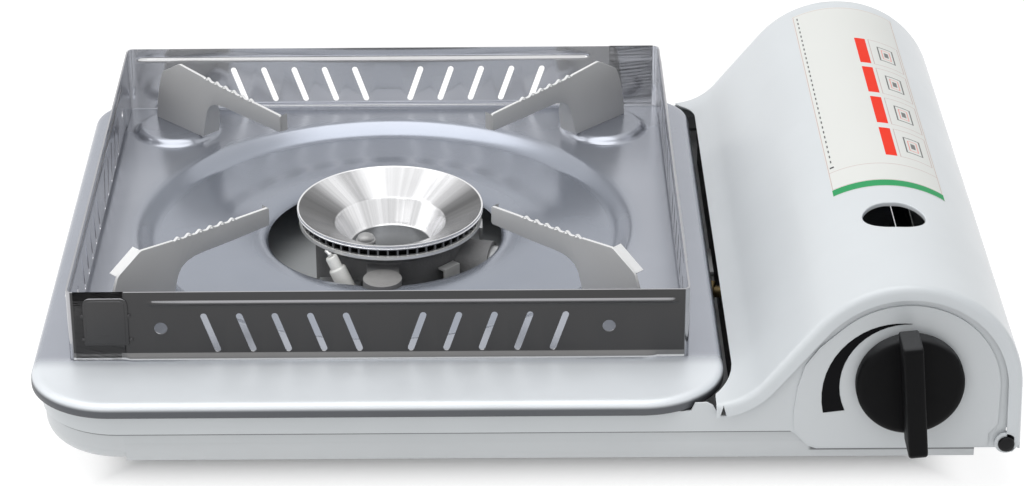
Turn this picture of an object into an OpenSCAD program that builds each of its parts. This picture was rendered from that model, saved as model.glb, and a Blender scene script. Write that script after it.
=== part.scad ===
// Tabletop butane cassette stove: a painted steel body with a burner bay on the left and a
// cartridge bay on the right, under a hinged arched cover. Millimetres, +Z up, +Y to the rear.
// The modules are drawn about the deck centre: X = 0 and Y = 0 at the middle of the plate's dish,
// Z = 0 at the plate's flat top. The last lines move them to the part's origin, which is the
// middle of the footprint on the table.

/* [Deck] */
// Height of the plate's flat top above the table
deck_height = 38; // [37:0.5:42]
// Width of the top plate, left to right
plate_width = 242; // [240:1:242]
// Depth of the top plate, front to rear
plate_depth = 259; // [259:1:260]
// Distance of the plate's front edge from the deck centre
plate_front = 142; // [141.5:0.5:143]
// Corner radius of the plate at the front
plate_front_radius = 30; // [28:1:31]
// Corner radius of the plate at the rear
plate_rear_radius = 20; // [18:1:22]
// Height of the plate's turned-down rim
plate_rim = 5; // [4.5:0.5:6]
// Radius of the dish pressed into the plate
dish_radius = 94; // [92:1:95]
// Depth of the dish
dish_depth = 4; // [3:0.5:4]
// Radius of the hole in the plate
burner_hole = 44.5; // [43:0.5:46]
// Radius of the pad under each pot support
pad_radius = 18; // [16:1:18]
// Height of the pads
pad_height = 2.5; // [2:0.25:3]

/* [Pot supports] */
// Distance of the support's top corner from the deck centre
support_reach = 118; // [116:1:119]
// Distance of the support's inner tip from the deck centre
support_tip = 58; // [56:1:62]
// Height of the support's top corner above the plate
support_height = 30.3; // [29:0.5:32]
// Number of teeth on a support
support_teeth = 6; // [4:1:7]
// Sheet thickness of the supports
support_sheet = 1.2; // [1:0.1:1.4]

/* [Wind guard] */
// Outer width and depth of the wind guard
guard_size = 217; // [216:0.5:218]
// Height of the wind guard
guard_height = 26.3; // [25:0.5:28]
// Sheet thickness of the wind guard
guard_sheet = 0.6; // [0.5:0.1:0.8]
// Slots on each side of a panel's middle
guard_slots = 5; // [3:1:5]
// Distance from slot to slot
guard_pitch = 12.4; // [12:0.1:12.6]

/* [Burner] */
// Offset of the burner axis to the right of the deck centre
burner_offset = 2.2; // [1.5:0.1:2.5]
// Radius of the burner cap's rim
cap_radius = 35.35; // [34.8:0.05:35.5]
// Height of the cap's rim above the plate
cap_height = 7.35; // [7:0.05:8]
// Number of flame slots
flame_slots = 58; // [48:2:60]
// Outer radius of the mixing tube
tube_radius = 8.5; // [8:0.25:8.5]

/* [Body] */
// Sheet thickness of the body, the plate and the cover
sheet = 0.8; // [0.8:0.1:0.9]
// Length of the rubber feet below the pan
foot_height = 12; // [11.5:0.5:12]
// Diameter of the rubber feet
foot_diameter = 14; // [12:1:14]

/* [Cartridge bay] */
// Outer radius of the cover's arch
arch_radius = 40; // [40:0.25:40.5]
// Distance of the arch's axis from the deck centre
arch_x = 181.5; // [181:0.5:181.5]
// Widest angle that the cover opens to
cover_opening = 95; // [60:5:95]
// Diameter of the gas cartridge that the bay takes
cartridge_diameter = 67; // [66:0.5:67]
// Length of the gas cartridge that the bay takes
cartridge_length = 185; // [180:1:185]

/* [Knob] */
// Radius of the knob's skirt
knob_radius = 18.5; // [17:0.5:19]
// Length of the knob's grip bar
grip_length = 42.5; // [40:0.5:43]
// Width of the knob's grip bar
grip_width = 6.9; // [6:0.1:8]
// Angle between off and full flame
knob_turn = 115; // [90:5:120]

/* [Hidden] */
$fn = 96;

// Top plate: lowest and highest corner in plan
plate_lo = [0.5 - plate_width / 2, -plate_front];
plate_hi = [0.5 + plate_width / 2, plate_depth - plate_front];
rim_roll = 3;
dish_foot = dish_radius - 8;
pad_place = 86.3;

// Body: outer corners of the skirt in plan, and its heights
frame_lo = [-117.5, -138];
frame_hi = [207.5, 115.5];
frame_radii = [29, 0, 0, 19];
frame_top = -1.1;
seam_z = -13.4;
pan_lap = 5.4;
pan_low_lap = 2.4;
pan_gap = 0.1;
pan_z = -deck_height + foot_height;
pan_roll = 8;
pan_lip_z = -24;
pan_lo = frame_lo + [1, 1] * (sheet + pan_gap);
pan_hi = frame_hi - [1, 1] * (sheet + pan_gap);
pan_radii = [28, 8.2, 8.2, 18];
right_wall_top = -19.5;
frame_low_z = -20.4;
guide_top = [214.3, -10.4];
skirt_end = 98;
front_dip = [[110, -2.4], [114, -2.2], [116, -3.2], [117.2, -5.2], [118, -7.4], [121.4, -7.4], [122.5, -3.8]];
corner_line = [[142.8, seam_z], [144.3, -14.3], [145.8, -16], [147.3, -17.8], [149.2, -19.4], [152, frame_low_z]];
rear_dip = [[112.9, -2.2], [115.4, -3.4], [122.5, -3.8]];
foot_places = [[-92, -105], [-92, 100], [186, -105], [186, 100]];
body_screw_z = -10.6;
rear_screw_x = [-80, 0, 80];
side_screw_y = [-70, 60];
screw_radius = 1.6;

// Cover: the arch, the flank and the foot beside the plate
arch_z = 2.7;
foot_radius = 22.2;
foot_centre = [115.5, 20];
cover_start = 117.2;
cover_end_z = -21;
cover_front = -140;
cover_rear = 117;
cover_flange = 5;
plate_gap = 2.6;
flank_span = [arch_x, arch_z] - foot_centre;
flank_angle = asin((arch_radius + foot_radius) / norm(flank_span)) - atan2(-flank_span.y, flank_span.x);
hinge_x = 216.9;
hinge_z = -17.7;
hinge_lug = 3.9;
hinge_ear = 3.4;
hinge_pin = 1.5;
running_fit = 0.05;
window_at = [182, -83.7];
window_size = [22, 19.6];

// Knob, regulator and cartridge
knob_x = 182.5;
knob_z = 7;
knob_back = -139.5;
knob_disc = 5.5;
knob_front = -159;
grip_rise = 1.2;
grip_lean = 5.5;
spindle_radius = 3;
cam_base = 8;
cam_lift = 4;
cartridge_z = 3;
collar_front = -104;
collar_rear = -90;
regulator_y = -126;
regulator_depth = 22;
regulator_screw_z = [-8.2, 22.2];
trough_front = -96;
trough_length = 186;
trough_radius = cartridge_diameter / 2 + 0.7;
saddle_y = 2;
saddle_width = 20;

// Wind guard: its place, the pattern punched and rolled into each panel, and the corner tab
guard_at = [1, -0.4, 0.3];
guard_bend = 2.6;
pattern_shift = 2.3;
slot_length = 15.9;
slot_width = 2.3;
slot_lean = 19;
slot_z = 10.4;
first_slot = 11.2;
guard_hole = [78.1, 12.2, 2.3];
bead_span = [-79.4, 103.8];
bead_drop = 4.2;
hem_span = [-88, 96.2];
hem_z = 1.6;
tab_width = 18.6;
tab_z = 5.6;
tab_height = 18.7;

// Burner bay
burner_at = [burner_offset, 0];
burner_screw_places = [for (a = [60, 180, 300]) burner_at + 20 * [cos(a), sin(a)]];
tube_z = -14.8;
tube_angle = -14;
tube_mouth = 110;
cup_radius = 28.7;
ring_z = 1.1;
ring_top = 5.6;
lug_at = [-2, -40];
lug_top = -3.6;
bowl_break = [21, 0.5];
bowl_floor = [15.5, -8.8];
bowl_screw = [-9.6, 1.6];
electrode_top = [-19.2, -30, 0.6];
electrode_foot = [-12.4, -31.8, -14];
needle_tip = [-21.2, -28.4, 2.2];
electrode_axis = (electrode_top - electrode_foot) / norm(electrode_top - electrode_foot);
lead_bend = electrode_foot - 4.2 * electrode_axis;
lead_y = -127;
lead_end = [147, lead_y, -2.6];
piezo_y = frame_lo.y + sheet;
pipe_bore = 2.2;
pipe_end = [165.5, -113, 0];
pipe_route = [tube_point(tube_mouth + 11), tube_point(tube_mouth + 26), [139, -45, tube_z],
    [139, -104, tube_z], [146, pipe_end.y, 0], pipe_end];

footprint_x = (plate_lo.x + arch_x + arch_radius + 0.7) / 2;
footprint_y = (knob_front + cover_rear + 1.8) / 2;

steel_grey = [0.62, 0.65, 0.68];
paint = [0.86, 0.88, 0.9];
dark = [0.1, 0.1, 0.11];

// ---------------------------------------------------------------- shared shapes

function reversed(points) = [for (i = [len(points) - 1 : -1 : 0]) points[i]];

function arc(centre, radius, from, to, steps) =
    [for (i = [0 : steps]) let (a = from + (to - from) * i / steps) centre + radius * [cos(a), sin(a)]];

function tube_point(distance) =
    [burner_offset + distance * cos(tube_angle), distance * sin(tube_angle), tube_z];

// The room under the cover's sheet from y1 to y2, moved inwards by d and reaching down to z = bottom.
// The straight stretches end a hair inside the two arcs that they meet
module under_cover(y1, y2, d, bottom) difference() {
    foot = foot_radius + d;
    crown = arch_radius - d;
    hair = 0.02;
    flank = [-sin(flank_angle), cos(flank_angle)];
    union() {
        bar_y(arch_x, arch_z, y1, y2, crown);
        upright(y1, y2 - y1) polygon([
            [cover_start, bottom],
            [cover_start, foot_centre.y - foot + 3],
            foot_centre - (foot - hair) * flank,
            [arch_x, arch_z] + (crown - hair) * flank,
            [arch_x, arch_z],
            [arch_x + crown - hair, arch_z],
            [arch_x + crown + 0.7, cover_end_z],
            [arch_x + crown + 0.7, bottom],
        ]);
    }
    bar_y(foot_centre.x, foot_centre.y, y1 - 1, y2 + 1, foot);
    translate([arch_x - 80, y1 - 1, bottom - 100]) cube([160, y2 - y1 + 2, 100]);
}

// A band of the cover's section between two distances from its outer face
module cover_band(y1, y2, outer, inner) difference() {
    under_cover(y1, y2, outer, cover_end_z);
    under_cover(y1 - 1, y2 + 1, inner, cover_end_z - 1);
}

// Takes one square corner down to a round one, in plan
module corner_bite(at, dir, radius)
    difference() {
        translate([at.x + (dir.x > 0 ? -1 : -radius), at.y + (dir.y > 0 ? -1 : -radius)]) square(radius + 1);
        translate(at + radius * dir) circle(radius);
    }

// Rectangle with its own radius at each corner: front left, front right, rear right, rear left
module rounded_plan(lo, hi, radii) {
    corners = [[lo.x, lo.y], [hi.x, lo.y], [hi.x, hi.y], [lo.x, hi.y]];
    inwards = [[1, 1], [-1, 1], [-1, -1], [1, -1]];
    difference() {
        translate(lo) square(hi - lo);
        for (i = [0 : 3]) if (radii[i] > 0) corner_bite(corners[i], inwards[i], radii[i]);
    }
}

module swept_corner(centre, radius, angle)
    translate([centre.x, centre.y, 0]) rotate([0, 0, angle]) rotate_extrude(angle = 90)
        translate([radius, 0]) children();

module swept_side(start, length, angle)
    translate([start.x, start.y, 0]) rotate([0, 0, angle]) rotate([90, 0, 0]) linear_extrude(length) children();

// Carries a section round the rectangle; X = 0 of the section lies on the outline, X < 0 inside it
module sweep_round(lo, hi, r) {
    swept_side([hi.x, hi.y - r[2]], hi.y - lo.y - r[1] - r[2], 0) children();
    swept_side([hi.x - r[1], lo.y], hi.x - lo.x - r[0] - r[1], -90) children();
    swept_side([lo.x, lo.y + r[0]], hi.y - lo.y - r[0] - r[3], 180) children();
    swept_side([lo.x + r[3], hi.y], hi.x - lo.x - r[2] - r[3], 90) children();
    swept_corner([hi.x - r[1], lo.y + r[1]], r[1], -90) children();
    swept_corner([lo.x + r[0], lo.y + r[0]], r[0], 180) children();
    swept_corner([lo.x + r[3], hi.y - r[3]], r[3], 90) children();
    swept_corner([hi.x - r[2], hi.y - r[2]], r[2], 0) children();
}

// Stands an outline drawn in X and Z up at y, with thickness t towards the rear
module upright(y, t) translate([0, y + t, 0]) rotate([90, 0, 0]) linear_extrude(t) children();

// A round bar along Y from y1 to y2
module bar_y(x, z, y1, y2, radius) translate([x, y2, z]) rotate([90, 0, 0]) cylinder(y2 - y1, r = radius);

// A round bar between two points
module bar(from, to, radius) {
    span = to - from;
    translate(from) rotate([0, acos(span.z / norm(span)), atan2(span.y, span.x)]) cylinder(norm(span), r = radius);
}

// A round wire or pipe along points, swaged a little thicker where it bends
module bent_rod(points, radius) {
    for (i = [1 : len(points) - 1]) bar(points[i - 1], points[i], radius);
    for (i = [1 : len(points) - 2]) translate(points[i]) sphere(radius + 0.3);
}

// ---------------------------------------------------------------- body

module pan_section() {
    translate([-sheet, pan_z + pan_roll]) square([sheet, seam_z + pan_lap - pan_z - pan_roll]);
    intersection() {
        translate([-pan_roll, pan_z + pan_roll]) difference() {
            circle(pan_roll);
            circle(pan_roll - sheet);
        }
        translate([-pan_roll, pan_z]) square(pan_roll);
    }
}

module base_pan() color(paint) difference() {
    union() {
        sweep_round(pan_lo, pan_hi, pan_radii) pan_section();
        translate([0, 0, pan_z]) linear_extrude(sheet)
            rounded_plan(pan_lo + [pan_roll, pan_roll], pan_hi - [pan_roll, pan_roll],
                [for (r = pan_radii) max(0, r - pan_roll)]);
        // straight lip along the front's lower edge
        translate([-86, pan_lo.y - 0.02, pan_lip_z]) cube([pan_hi.x + 86, sheet, pan_roll - 1.5]);
    }
    // right wall, cut low so that a cartridge can be laid in
    translate([190, -200, right_wall_top]) cube([40, 400, 40]);
    // lower lap behind the control panel
    translate([152, -200, frame_low_z + pan_low_lap]) cube([60, 400, 40]);
    // opening for the cartridge trough
    translate([arch_x - 20.05, trough_front - sheet - 0.1, pan_z - 1])
        cube([40, trough_length + 2 * sheet + 0.2, 3]);
    for (p = foot_places) translate([p.x, p.y, pan_z - 1]) cylinder(3, r = 3);
    for (x = rear_screw_x) bar_y(x, body_screw_z, pan_hi.y - 2, pan_hi.y + 2, screw_radius);
    for (y = side_screw_y) translate([pan_lo.x - 2, y, body_screw_z]) rotate([0, 90, 0])
        cylinder(4, r = screw_radius);
    // air slots under the burner
    for (side = [-1, 1], i = [-2 : 2])
        translate([burner_offset + side * 62, i * 16, pan_z - 1]) linear_extrude(3) slot_plan(22, 5);
    for (p = burner_screw_places) translate([p.x, p.y, pan_z - 1]) cylinder(3, r = 1.75);
}

// A slot with round ends along X, centred
module slot_plan(length, width) {
    square([length - width, width], center = true);
    for (s = [-1, 1]) translate([s * (length - width) / 2, 0]) circle(width / 2);
}

module cartridge_trough() color(steel_grey) {
    floor_drop = cartridge_z - pan_z - sheet;
    half_angle = acos(floor_drop / (trough_radius + 0.1));
    trough_line = arc([arch_x, cartridge_z], trough_radius, -90 - half_angle, -90 + half_angle, 20);
    trough_under = arc([arch_x, cartridge_z], trough_radius + sheet, -90 + half_angle, -90 - half_angle, 20);
    upright(trough_front, trough_length) polygon(concat(trough_line, trough_under));
    for (y = [trough_front - sheet, trough_front + trough_length]) upright(y, sheet)
        polygon(arc([arch_x, cartridge_z], trough_radius + sheet, -90 - half_angle, -90 + half_angle, 20));
    // welding flange on the pan's floor
    difference() {
        translate([arch_x - 24.6, trough_front, pan_z + sheet]) cube([5.4, trough_length, sheet]);
        // relieved for the heat plate's saddle
        bar_y(arch_x, cartridge_z, saddle_y - 0.3, saddle_y + saddle_width + 0.3, trough_radius - 0.02);
    }
}

// Front and rear end wall of the body. Its top is low under the plate's corner and again under the
// toe of the cover, where it follows the points of the dip
module end_wall(y, dip) {
    inset = 1.3;
    upright(y, sheet) polygon(concat([[frame_lo.x + 40, seam_z], [frame_lo.x + 40, frame_top],
        [skirt_end, frame_top], [skirt_end, -plate_rim - 0.4], [dip[0].x - 1.4, -plate_rim - 0.4]],
        dip, [[142, 2], [142, seam_z]]));
    difference() {
        under_cover(y, y + sheet, inset, frame_low_z);
        upright(y - 1, sheet + 2) polygon(concat([[cover_start - 1, seam_z]], corner_line,
            [[152, frame_low_z - 1], [cover_start - 1, frame_low_z - 1]]));
        upright(y - 1, sheet + 2) polygon(concat([for (p = dip) if (p.x > cover_start - 2) p],
            [[dip[len(dip) - 1].x, 8], [cover_start - 2, 8]]));
        translate([hinge_x, y - 1, -40]) cube([20, sheet + 2, 40 - 12.5]);
    }
    bar_y(hinge_x, hinge_z, y, y + sheet, hinge_ear);
    translate([frame_hi.x, y, frame_low_z]) cube([hinge_x - frame_hi.x, sheet, 12]);
}

module emboss_plan() {
    emboss_radius = 32.4;
    polygon(concat(
        [[210.8, -19.4], [210.8, -14.5], [213.8, -10.6]],
        arc([arch_x, arch_z], emboss_radius, 0, 132, 30),
        [[151.6, 19.2], [147, 12.4], [144.7, 4], [143.6, -6], [144.1, -12.6], [146.4, -15.4], [148.6, -17.8],
         [152, -19.4]]));
}

module body_frame() color(paint) difference() {
    union() {
        // skirt round the burner bay
        translate([0, 0, seam_z]) linear_extrude(frame_top - seam_z) difference() {
            rounded_plan(frame_lo, [skirt_end, frame_hi.y], frame_radii);
            rounded_plan(frame_lo + [sheet, sheet], [skirt_end + 1, frame_hi.y - sheet],
                [for (r = frame_radii) max(0, r - sheet)]);
        }
        end_wall(frame_lo.y, front_dip);
        end_wall(frame_hi.y - sheet, rear_dip);
        upright(frame_lo.y - sheet, sheet) emboss_plan();
        // low rail on the right with a slope that guides the cartridge, behind the cover
        upright(frame_lo.y + sheet, frame_hi.y - frame_lo.y - 2 * sheet) polygon([
            [frame_hi.x - sheet, frame_low_z], [frame_hi.x, frame_low_z], [frame_hi.x, frame_low_z + 0.5],
            guide_top, guide_top + [-0.6, 0.5], [frame_hi.x - sheet, frame_low_z + 0.9]]);
    }
    bar_y(knob_x, knob_z, frame_lo.y - 2, frame_lo.y + 2, 9);
    // the rear edge stays clear of the plate's rolled rim
    translate([frame_lo.x - 1, frame_hi.y - 1.6, frame_top - 0.7]) cube([skirt_end - frame_lo.x + 2, 3, 3]);
    for (y = [frame_lo.y, frame_hi.y]) bar_y(hinge_x, hinge_z, y - 3, y + 3, hinge_pin);
    for (z = regulator_screw_z) bar_y(knob_x, z, frame_lo.y - 2, frame_lo.y + 2, screw_radius);
    for (x = rear_screw_x) bar_y(x, body_screw_z, frame_hi.y - 2, frame_hi.y + 2, screw_radius);
    // left side skirt screws
    for (y = side_screw_y) translate([frame_lo.x - 2, y, body_screw_z]) rotate([0, 90, 0])
        cylinder(4, r = screw_radius);
}

module bay_partition() color(steel_grey) difference() {
    translate([126, frame_lo.y + sheet, pan_z + sheet])
        cube([sheet, frame_hi.y - frame_lo.y - 2 * sheet, -0.8 - pan_z - sheet]);
    translate([120, -31, tube_z]) rotate([0, 90, 0]) cylinder(12, r = 7);
    translate([120, lead_y, lead_bend.z]) rotate([0, 90, 0]) cylinder(12, r = 3);
    translate([120, 1, pan_z]) cube([12, 22, 3.2]);
    // relieved for the pan's rolled edge and walls
    for (y = [frame_lo.y, frame_hi.y - pan_roll - 2])
        translate([120, y, pan_z - 1]) cube([12, pan_roll + 2, pan_roll + 2]);
    for (y = [frame_lo.y, frame_hi.y - 3]) translate([120, y, pan_z]) cube([12, 3, 20]);
}

module rubber_feet() color(dark) for (p = foot_places) translate([p.x, p.y, -deck_height]) {
    rotate_extrude() polygon([[0, 0], [foot_diameter / 2 - 1.6, 0], [foot_diameter / 2 - 0.6, 0.8],
        [foot_diameter / 2, foot_height], [0, foot_height]]);
    translate([0, 0, foot_height]) cylinder(2.4, r = 3);
}

module screw(head_radius, head, shank_radius, shank) {
    translate([0, 0, -head]) cylinder(head, r = head_radius);
    cylinder(shank, r = shank_radius);
}

module body_screws() color(steel_grey) {
    for (x = rear_screw_x) translate([x, frame_hi.y, body_screw_z]) rotate([90, 0, 0]) screw(2.6, 1.1, screw_radius, 5);
    for (y = side_screw_y) translate([frame_lo.x, y, body_screw_z]) rotate([0, 90, 0]) screw(2.6, 1.1, screw_radius, 5);
}

// ---------------------------------------------------------------- top plate

module rim_section() {
    intersection() {
        translate([-rim_roll, -rim_roll]) difference() {
            circle(rim_roll);
            circle(rim_roll - sheet);
        }
        translate([-rim_roll, -rim_roll]) square(rim_roll);
    }
    translate([-sheet, -plate_rim]) square([sheet, plate_rim - rim_roll]);
}

// The pressed dish: outer step, flat floor and turned-down burner hole, as a turned section
module dish_section() {
    top = [[dish_radius + 0.4, 0], [dish_radius, 0], [dish_radius - 1.5, -0.4], [dish_foot + 2, -dish_depth + 0.5],
        [dish_foot - 1.5, -dish_depth], [66, -dish_depth + 0.3], [54, -2.7], [burner_hole + 3, -3],
        [burner_hole + 1, -3.6], [burner_hole, -4.8]];
    polygon(concat(top, [for (p = reversed(top)) p - [p.x < burner_hole + 2 ? -sheet : 0, sheet]]));
}

module pad_section()
    polygon([[0, pad_height], [pad_radius - 3.5, pad_height], [pad_radius - 1.5, pad_height - 0.6],
        [pad_radius, 0], [pad_radius, -sheet], [pad_radius - 1.5, pad_height - 0.6 - sheet],
        [pad_radius - 3.5, pad_height - sheet], [0, pad_height - sheet]]);

module top_plate() color(steel_grey) {
    sweep_round(plate_lo, plate_hi,
        [plate_front_radius, plate_front_radius, plate_rear_radius, plate_rear_radius]) rim_section();
    difference() {
        union() {
            translate([0, 0, -sheet]) linear_extrude(sheet) difference() {
                rounded_plan(plate_lo + [rim_roll, rim_roll], plate_hi - [rim_roll, rim_roll],
                    [plate_front_radius - rim_roll, plate_front_radius - rim_roll,
                     plate_rear_radius - rim_roll, plate_rear_radius - rim_roll]);
                circle(dish_radius);
                for (x = [-1, 1], y = [-1, 1]) translate([x * pad_place, y * pad_place]) circle(pad_radius);
            }
            rotate_extrude() dish_section();
            for (x = [-1, 1], y = [-1, 1]) translate([x * pad_place, y * pad_place, 0])
                rotate_extrude() pad_section();
        }
        // notch that clears the burner's front lug
        at_burner() translate([lug_at.x, lug_at.y - 0.5, -10]) cylinder(12, r = 8);
    }
}

// ---------------------------------------------------------------- pot supports

// Where a fold of this width starts, on the side that the support's hand gives
function fold_from(hand, width) = hand > 0 ? support_sheet / 2 - 0.05 : 0.05 - width - support_sheet / 2;

// One support on the rear right diagonal, drawn along +X and then turned; hand = 1 folds to +Y
module pot_support(hand) {
    outline = [
        [105.5, pad_height], [134, pad_height], [131.5, 17], [129, 23.6], [support_reach, support_height],
        [102.9, 28.9],
    ];
    teeth = [for (i = [0 : support_teeth - 1]) let (x = 100.9 - 5.1 * i, z = 28.7 - 0.27 * i)
        each [[x + 1.3, z - 0.2], [x, z + 0.9], [x - 1.3, z - 0.2]]];
    inner = [[support_tip, 26.3], [support_tip, 19.3], [93, 19.6], [98, 18.6], [101.3, 15.6], [103, 10]];
    translate([0, -support_sheet / 2, 0]) rotate([90, 0, 0]) translate([0, 0, -support_sheet])
        linear_extrude(support_sheet) polygon(concat(outline, teeth, inner));
    // folded edge at the tip
    translate([support_tip, fold_from(hand, 2.6), 19.3]) cube([support_sheet, 2.6, 7]);
    // folded edge down the outer slope
    slope = atan2(support_height - 23.6, 129 - support_reach);
    translate([support_reach, fold_from(hand, 3.4), support_height]) rotate([0, slope, 0])
        translate([0, 0, -support_sheet]) cube([norm([129 - support_reach, support_height - 23.6]), 3.4, support_sheet]);
    // folded edge down the inner side of the leg
    translate([105.5, fold_from(hand, 7), pad_height]) rotate([0, -18.4, 0]) translate([0, 0, 0.4])
        cube([support_sheet, 7, 9]);
}

module support_at(angle, hand) color([0.66, 0.66, 0.65]) rotate([0, 0, angle]) pot_support(hand);

module pot_support_rear_left() support_at(135, -1);
module pot_support_rear_right() support_at(45, 1);
module pot_support_front_left() support_at(225, -1);
module pot_support_front_right() support_at(315, 1);

// ---------------------------------------------------------------- wind guard

// One straight panel of length l along X, its outer face at Y = 0. The slots, the holes, the bead
// under the top edge and the hem at the foot sit a little off its middle
module guard_panel(l) difference() {
    union() {
        translate([-l / 2, 0, 0]) cube([l, guard_sheet, guard_height]);
        for (roll = [[bead_span, guard_height - bead_drop], [hem_span, hem_z]])
            translate([roll[0][0], 0.4, roll[1]]) rotate([0, 90, 0])
                cylinder(roll[0][1] - roll[0][0], r = 1.1, $fn = 24);
    }
    translate([pattern_shift, 0, 0]) for (s = [-1, 1]) {
        for (i = [0 : guard_slots - 1])
            translate([s * (first_slot + guard_pitch * i), 2, slot_z]) rotate([0, s * slot_lean, 0])
                rotate([90, 0, 0]) linear_extrude(4) rotate([0, 0, 90]) slot_plan(slot_length, slot_width);
        translate([s * guard_hole[0], 2, guard_hole[1]]) rotate([90, 0, 0]) cylinder(4, r = guard_hole[2]);
    }
    // the beads stand out on the outer face only
    translate([-l / 2, guard_sheet, 0]) cube([l, 3, guard_height]);
}

module guard_corner(at, angle) translate([at.x, at.y, 0]) rotate([0, 0, angle])
    rotate_extrude(angle = 90) translate([guard_bend - guard_sheet, 0]) square([guard_sheet, guard_height]);

// The L-shaped half with its corner at the front right; its tab hooks the other half's rear panel
module guard_half() {
    h = guard_size / 2;
    run_length = guard_size - 2 * guard_bend;
    translate([0, -h, 0]) guard_panel(run_length);
    rotate([0, 0, 90]) translate([0, -h, 0]) guard_panel(run_length);
    guard_corner([h - guard_bend, -h + guard_bend], -90);
    // bend and lanced tab that wrap the next corner
    guard_corner([h - guard_bend, h - guard_bend], 0);
    translate([h - guard_bend - tab_width, h - guard_sheet, tab_z]) difference() {
        cube([tab_width, guard_sheet, tab_height]);
        translate([-1, -1, tab_height - 2]) cube([2.5, 3, 3]);
        translate([3, -1, 3]) cube([7, 3, 0.8]);
    }
}

module guard_relief() {
    h = guard_size / 2;
    // the panel behind the other half's tab is joggled inwards by one sheet
    difference() {
        children();
        translate([-h - 1, -h - 1, -1]) cube([tab_width + guard_bend + 1.6, guard_sheet + 1.05, guard_height + 2]);
    }
    translate([-h + guard_bend + 0.8, -h + guard_sheet + 0.1, 0]) cube([tab_width - 0.4, guard_sheet, guard_height]);
    translate([-h + guard_bend + tab_width + 0.2, -h, 0]) cube([0.6, 2 * guard_sheet + 0.1, guard_height]);
}

module wind_guard_front_right() color([0.7, 0.72, 0.74])
    translate(guard_at) guard_relief() guard_half();

module wind_guard_rear_left() color([0.75, 0.77, 0.79])
    translate(guard_at) rotate([0, 0, 180]) guard_relief() guard_half();

// ---------------------------------------------------------------- burner

module at_burner() translate([burner_offset, 0, 0]) children();

module along_tube(distance) at_burner() rotate([0, 0, tube_angle]) translate([distance, 0, tube_z])
    rotate([0, 90, 0]) children();

module burner_base() color([0.3, 0.3, 0.31]) difference() {
    union() {
        at_burner() rotate_extrude() polygon([
            [0, pan_z + sheet], [cup_radius, pan_z + sheet], [cup_radius, -3], [33.8, ring_z], [31.5, ring_z],
            [26.2, -3], [26.2, pan_z + sheet + 2], [0, pan_z + sheet + 2]]);
        // front lug
        at_burner() translate([0, 0, pan_z + sheet]) linear_extrude(lug_top - pan_z - sheet) difference() {
            union() {
                translate(lug_at) circle(7.2);
                translate(lug_at - [6, 0]) square([12, 14]);
            }
            circle(cup_radius - 0.6);
        }
        // socket for the mixing tube, and boss for the cap's screw
        along_tube(25.5) cylinder(14, r = tube_radius + 1.6);
        at_burner() translate([bowl_screw.x, bowl_screw.y, pan_z + sheet]) cylinder(14.6, r = 3.6);
    }
    at_burner() translate([bowl_screw.x, bowl_screw.y, -18]) cylinder(10, r = 1.6);
    along_tube(20) cylinder(30, r = tube_radius);
    for (p = burner_screw_places) translate([p.x, p.y, pan_z]) cylinder(8, r = 1.6);
}

module flame_ring() color([0.7, 0.7, 0.7]) at_burner() difference() {
    union() {
        translate([0, 0, ring_z]) cylinder(1.1, r = cap_radius - 0.7);
        translate([0, 0, ring_z]) cylinder(ring_top - ring_z, r = cap_radius - 1.3);
    }
    translate([0, 0, -1]) cylinder(8, r = cap_radius - 2.3);
    for (i = [0 : flame_slots - 1]) rotate([0, 0, i * 360 / flame_slots])
        translate([cap_radius - 4, -1.5, 2.4]) cube([4, 3, 2.4]);
}

module burner_cap() color([0.85, 0.85, 0.86]) at_burner() difference() {
    rotate_extrude() polygon([
        [0, bowl_floor[1]], bowl_floor, bowl_break, [cap_radius - 0.9, cap_height], [cap_radius, cap_height - 0.5],
        [cap_radius, ring_top], [cap_radius - 2.6, ring_top], bowl_break - [-0.6, 1.1], bowl_floor - [-0.5, 1.1],
        [0, bowl_floor[1] - 1.1]]);
    translate([bowl_screw.x, bowl_screw.y, bowl_floor[1] - 3]) cylinder(6, r = 1.6);
}

module burner_cap_screw() color([0.6, 0.6, 0.6]) at_burner()
    translate([bowl_screw.x, bowl_screw.y, bowl_floor[1]]) difference() {
    union() {
        rotate_extrude() polygon([[0, 0], [3.8, 0], [3.8, 2.6], [3.2, 3.6], [2.2, 4], [0, 4]]);
        translate([0, 0, -8]) cylinder(8, r = 1.6);
    }
    for (a = [0, 90]) rotate([0, 0, a]) translate([-1.8, -0.4, 2.6]) cube([3.6, 0.8, 2]);
}

module burner_fixing_screws() color(steel_grey) for (p = burner_screw_places)
    translate([p.x, p.y, pan_z]) screw(3.4, 1.8, 1.6, 7);

module mixing_tube() color([0.6, 0.58, 0.55]) difference() {
    along_tube(27.5) cylinder(tube_mouth - 27.5, r = tube_radius);
    along_tube(20) cylinder(tube_mouth, r = tube_radius - 0.9);
    // primary air windows behind the collar
    along_tube(tube_mouth - 18) for (a = [90, 270]) rotate([0, 0, a]) translate([4, -4, 0]) cube([8, 8, 9]);
}

module air_collar() color([0.7, 0.6, 0.3]) difference() {
    along_tube(tube_mouth - 8) cylinder(8, r = tube_radius + 1.1);
    along_tube(tube_mouth - 9) cylinder(10, r = tube_radius);
}

module injector() color("goldenrod") difference() {
    union() {
        along_tube(tube_mouth - 3) cylinder(8, r = 2.6);
        along_tube(tube_mouth + 5) cylinder(6, r = 5, $fn = 6);
    }
    along_tube(tube_mouth - 4) cylinder(16, r = 0.6);
}

module gas_pipe() color("goldenrod") bent_rod(pipe_route, pipe_bore);

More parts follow.
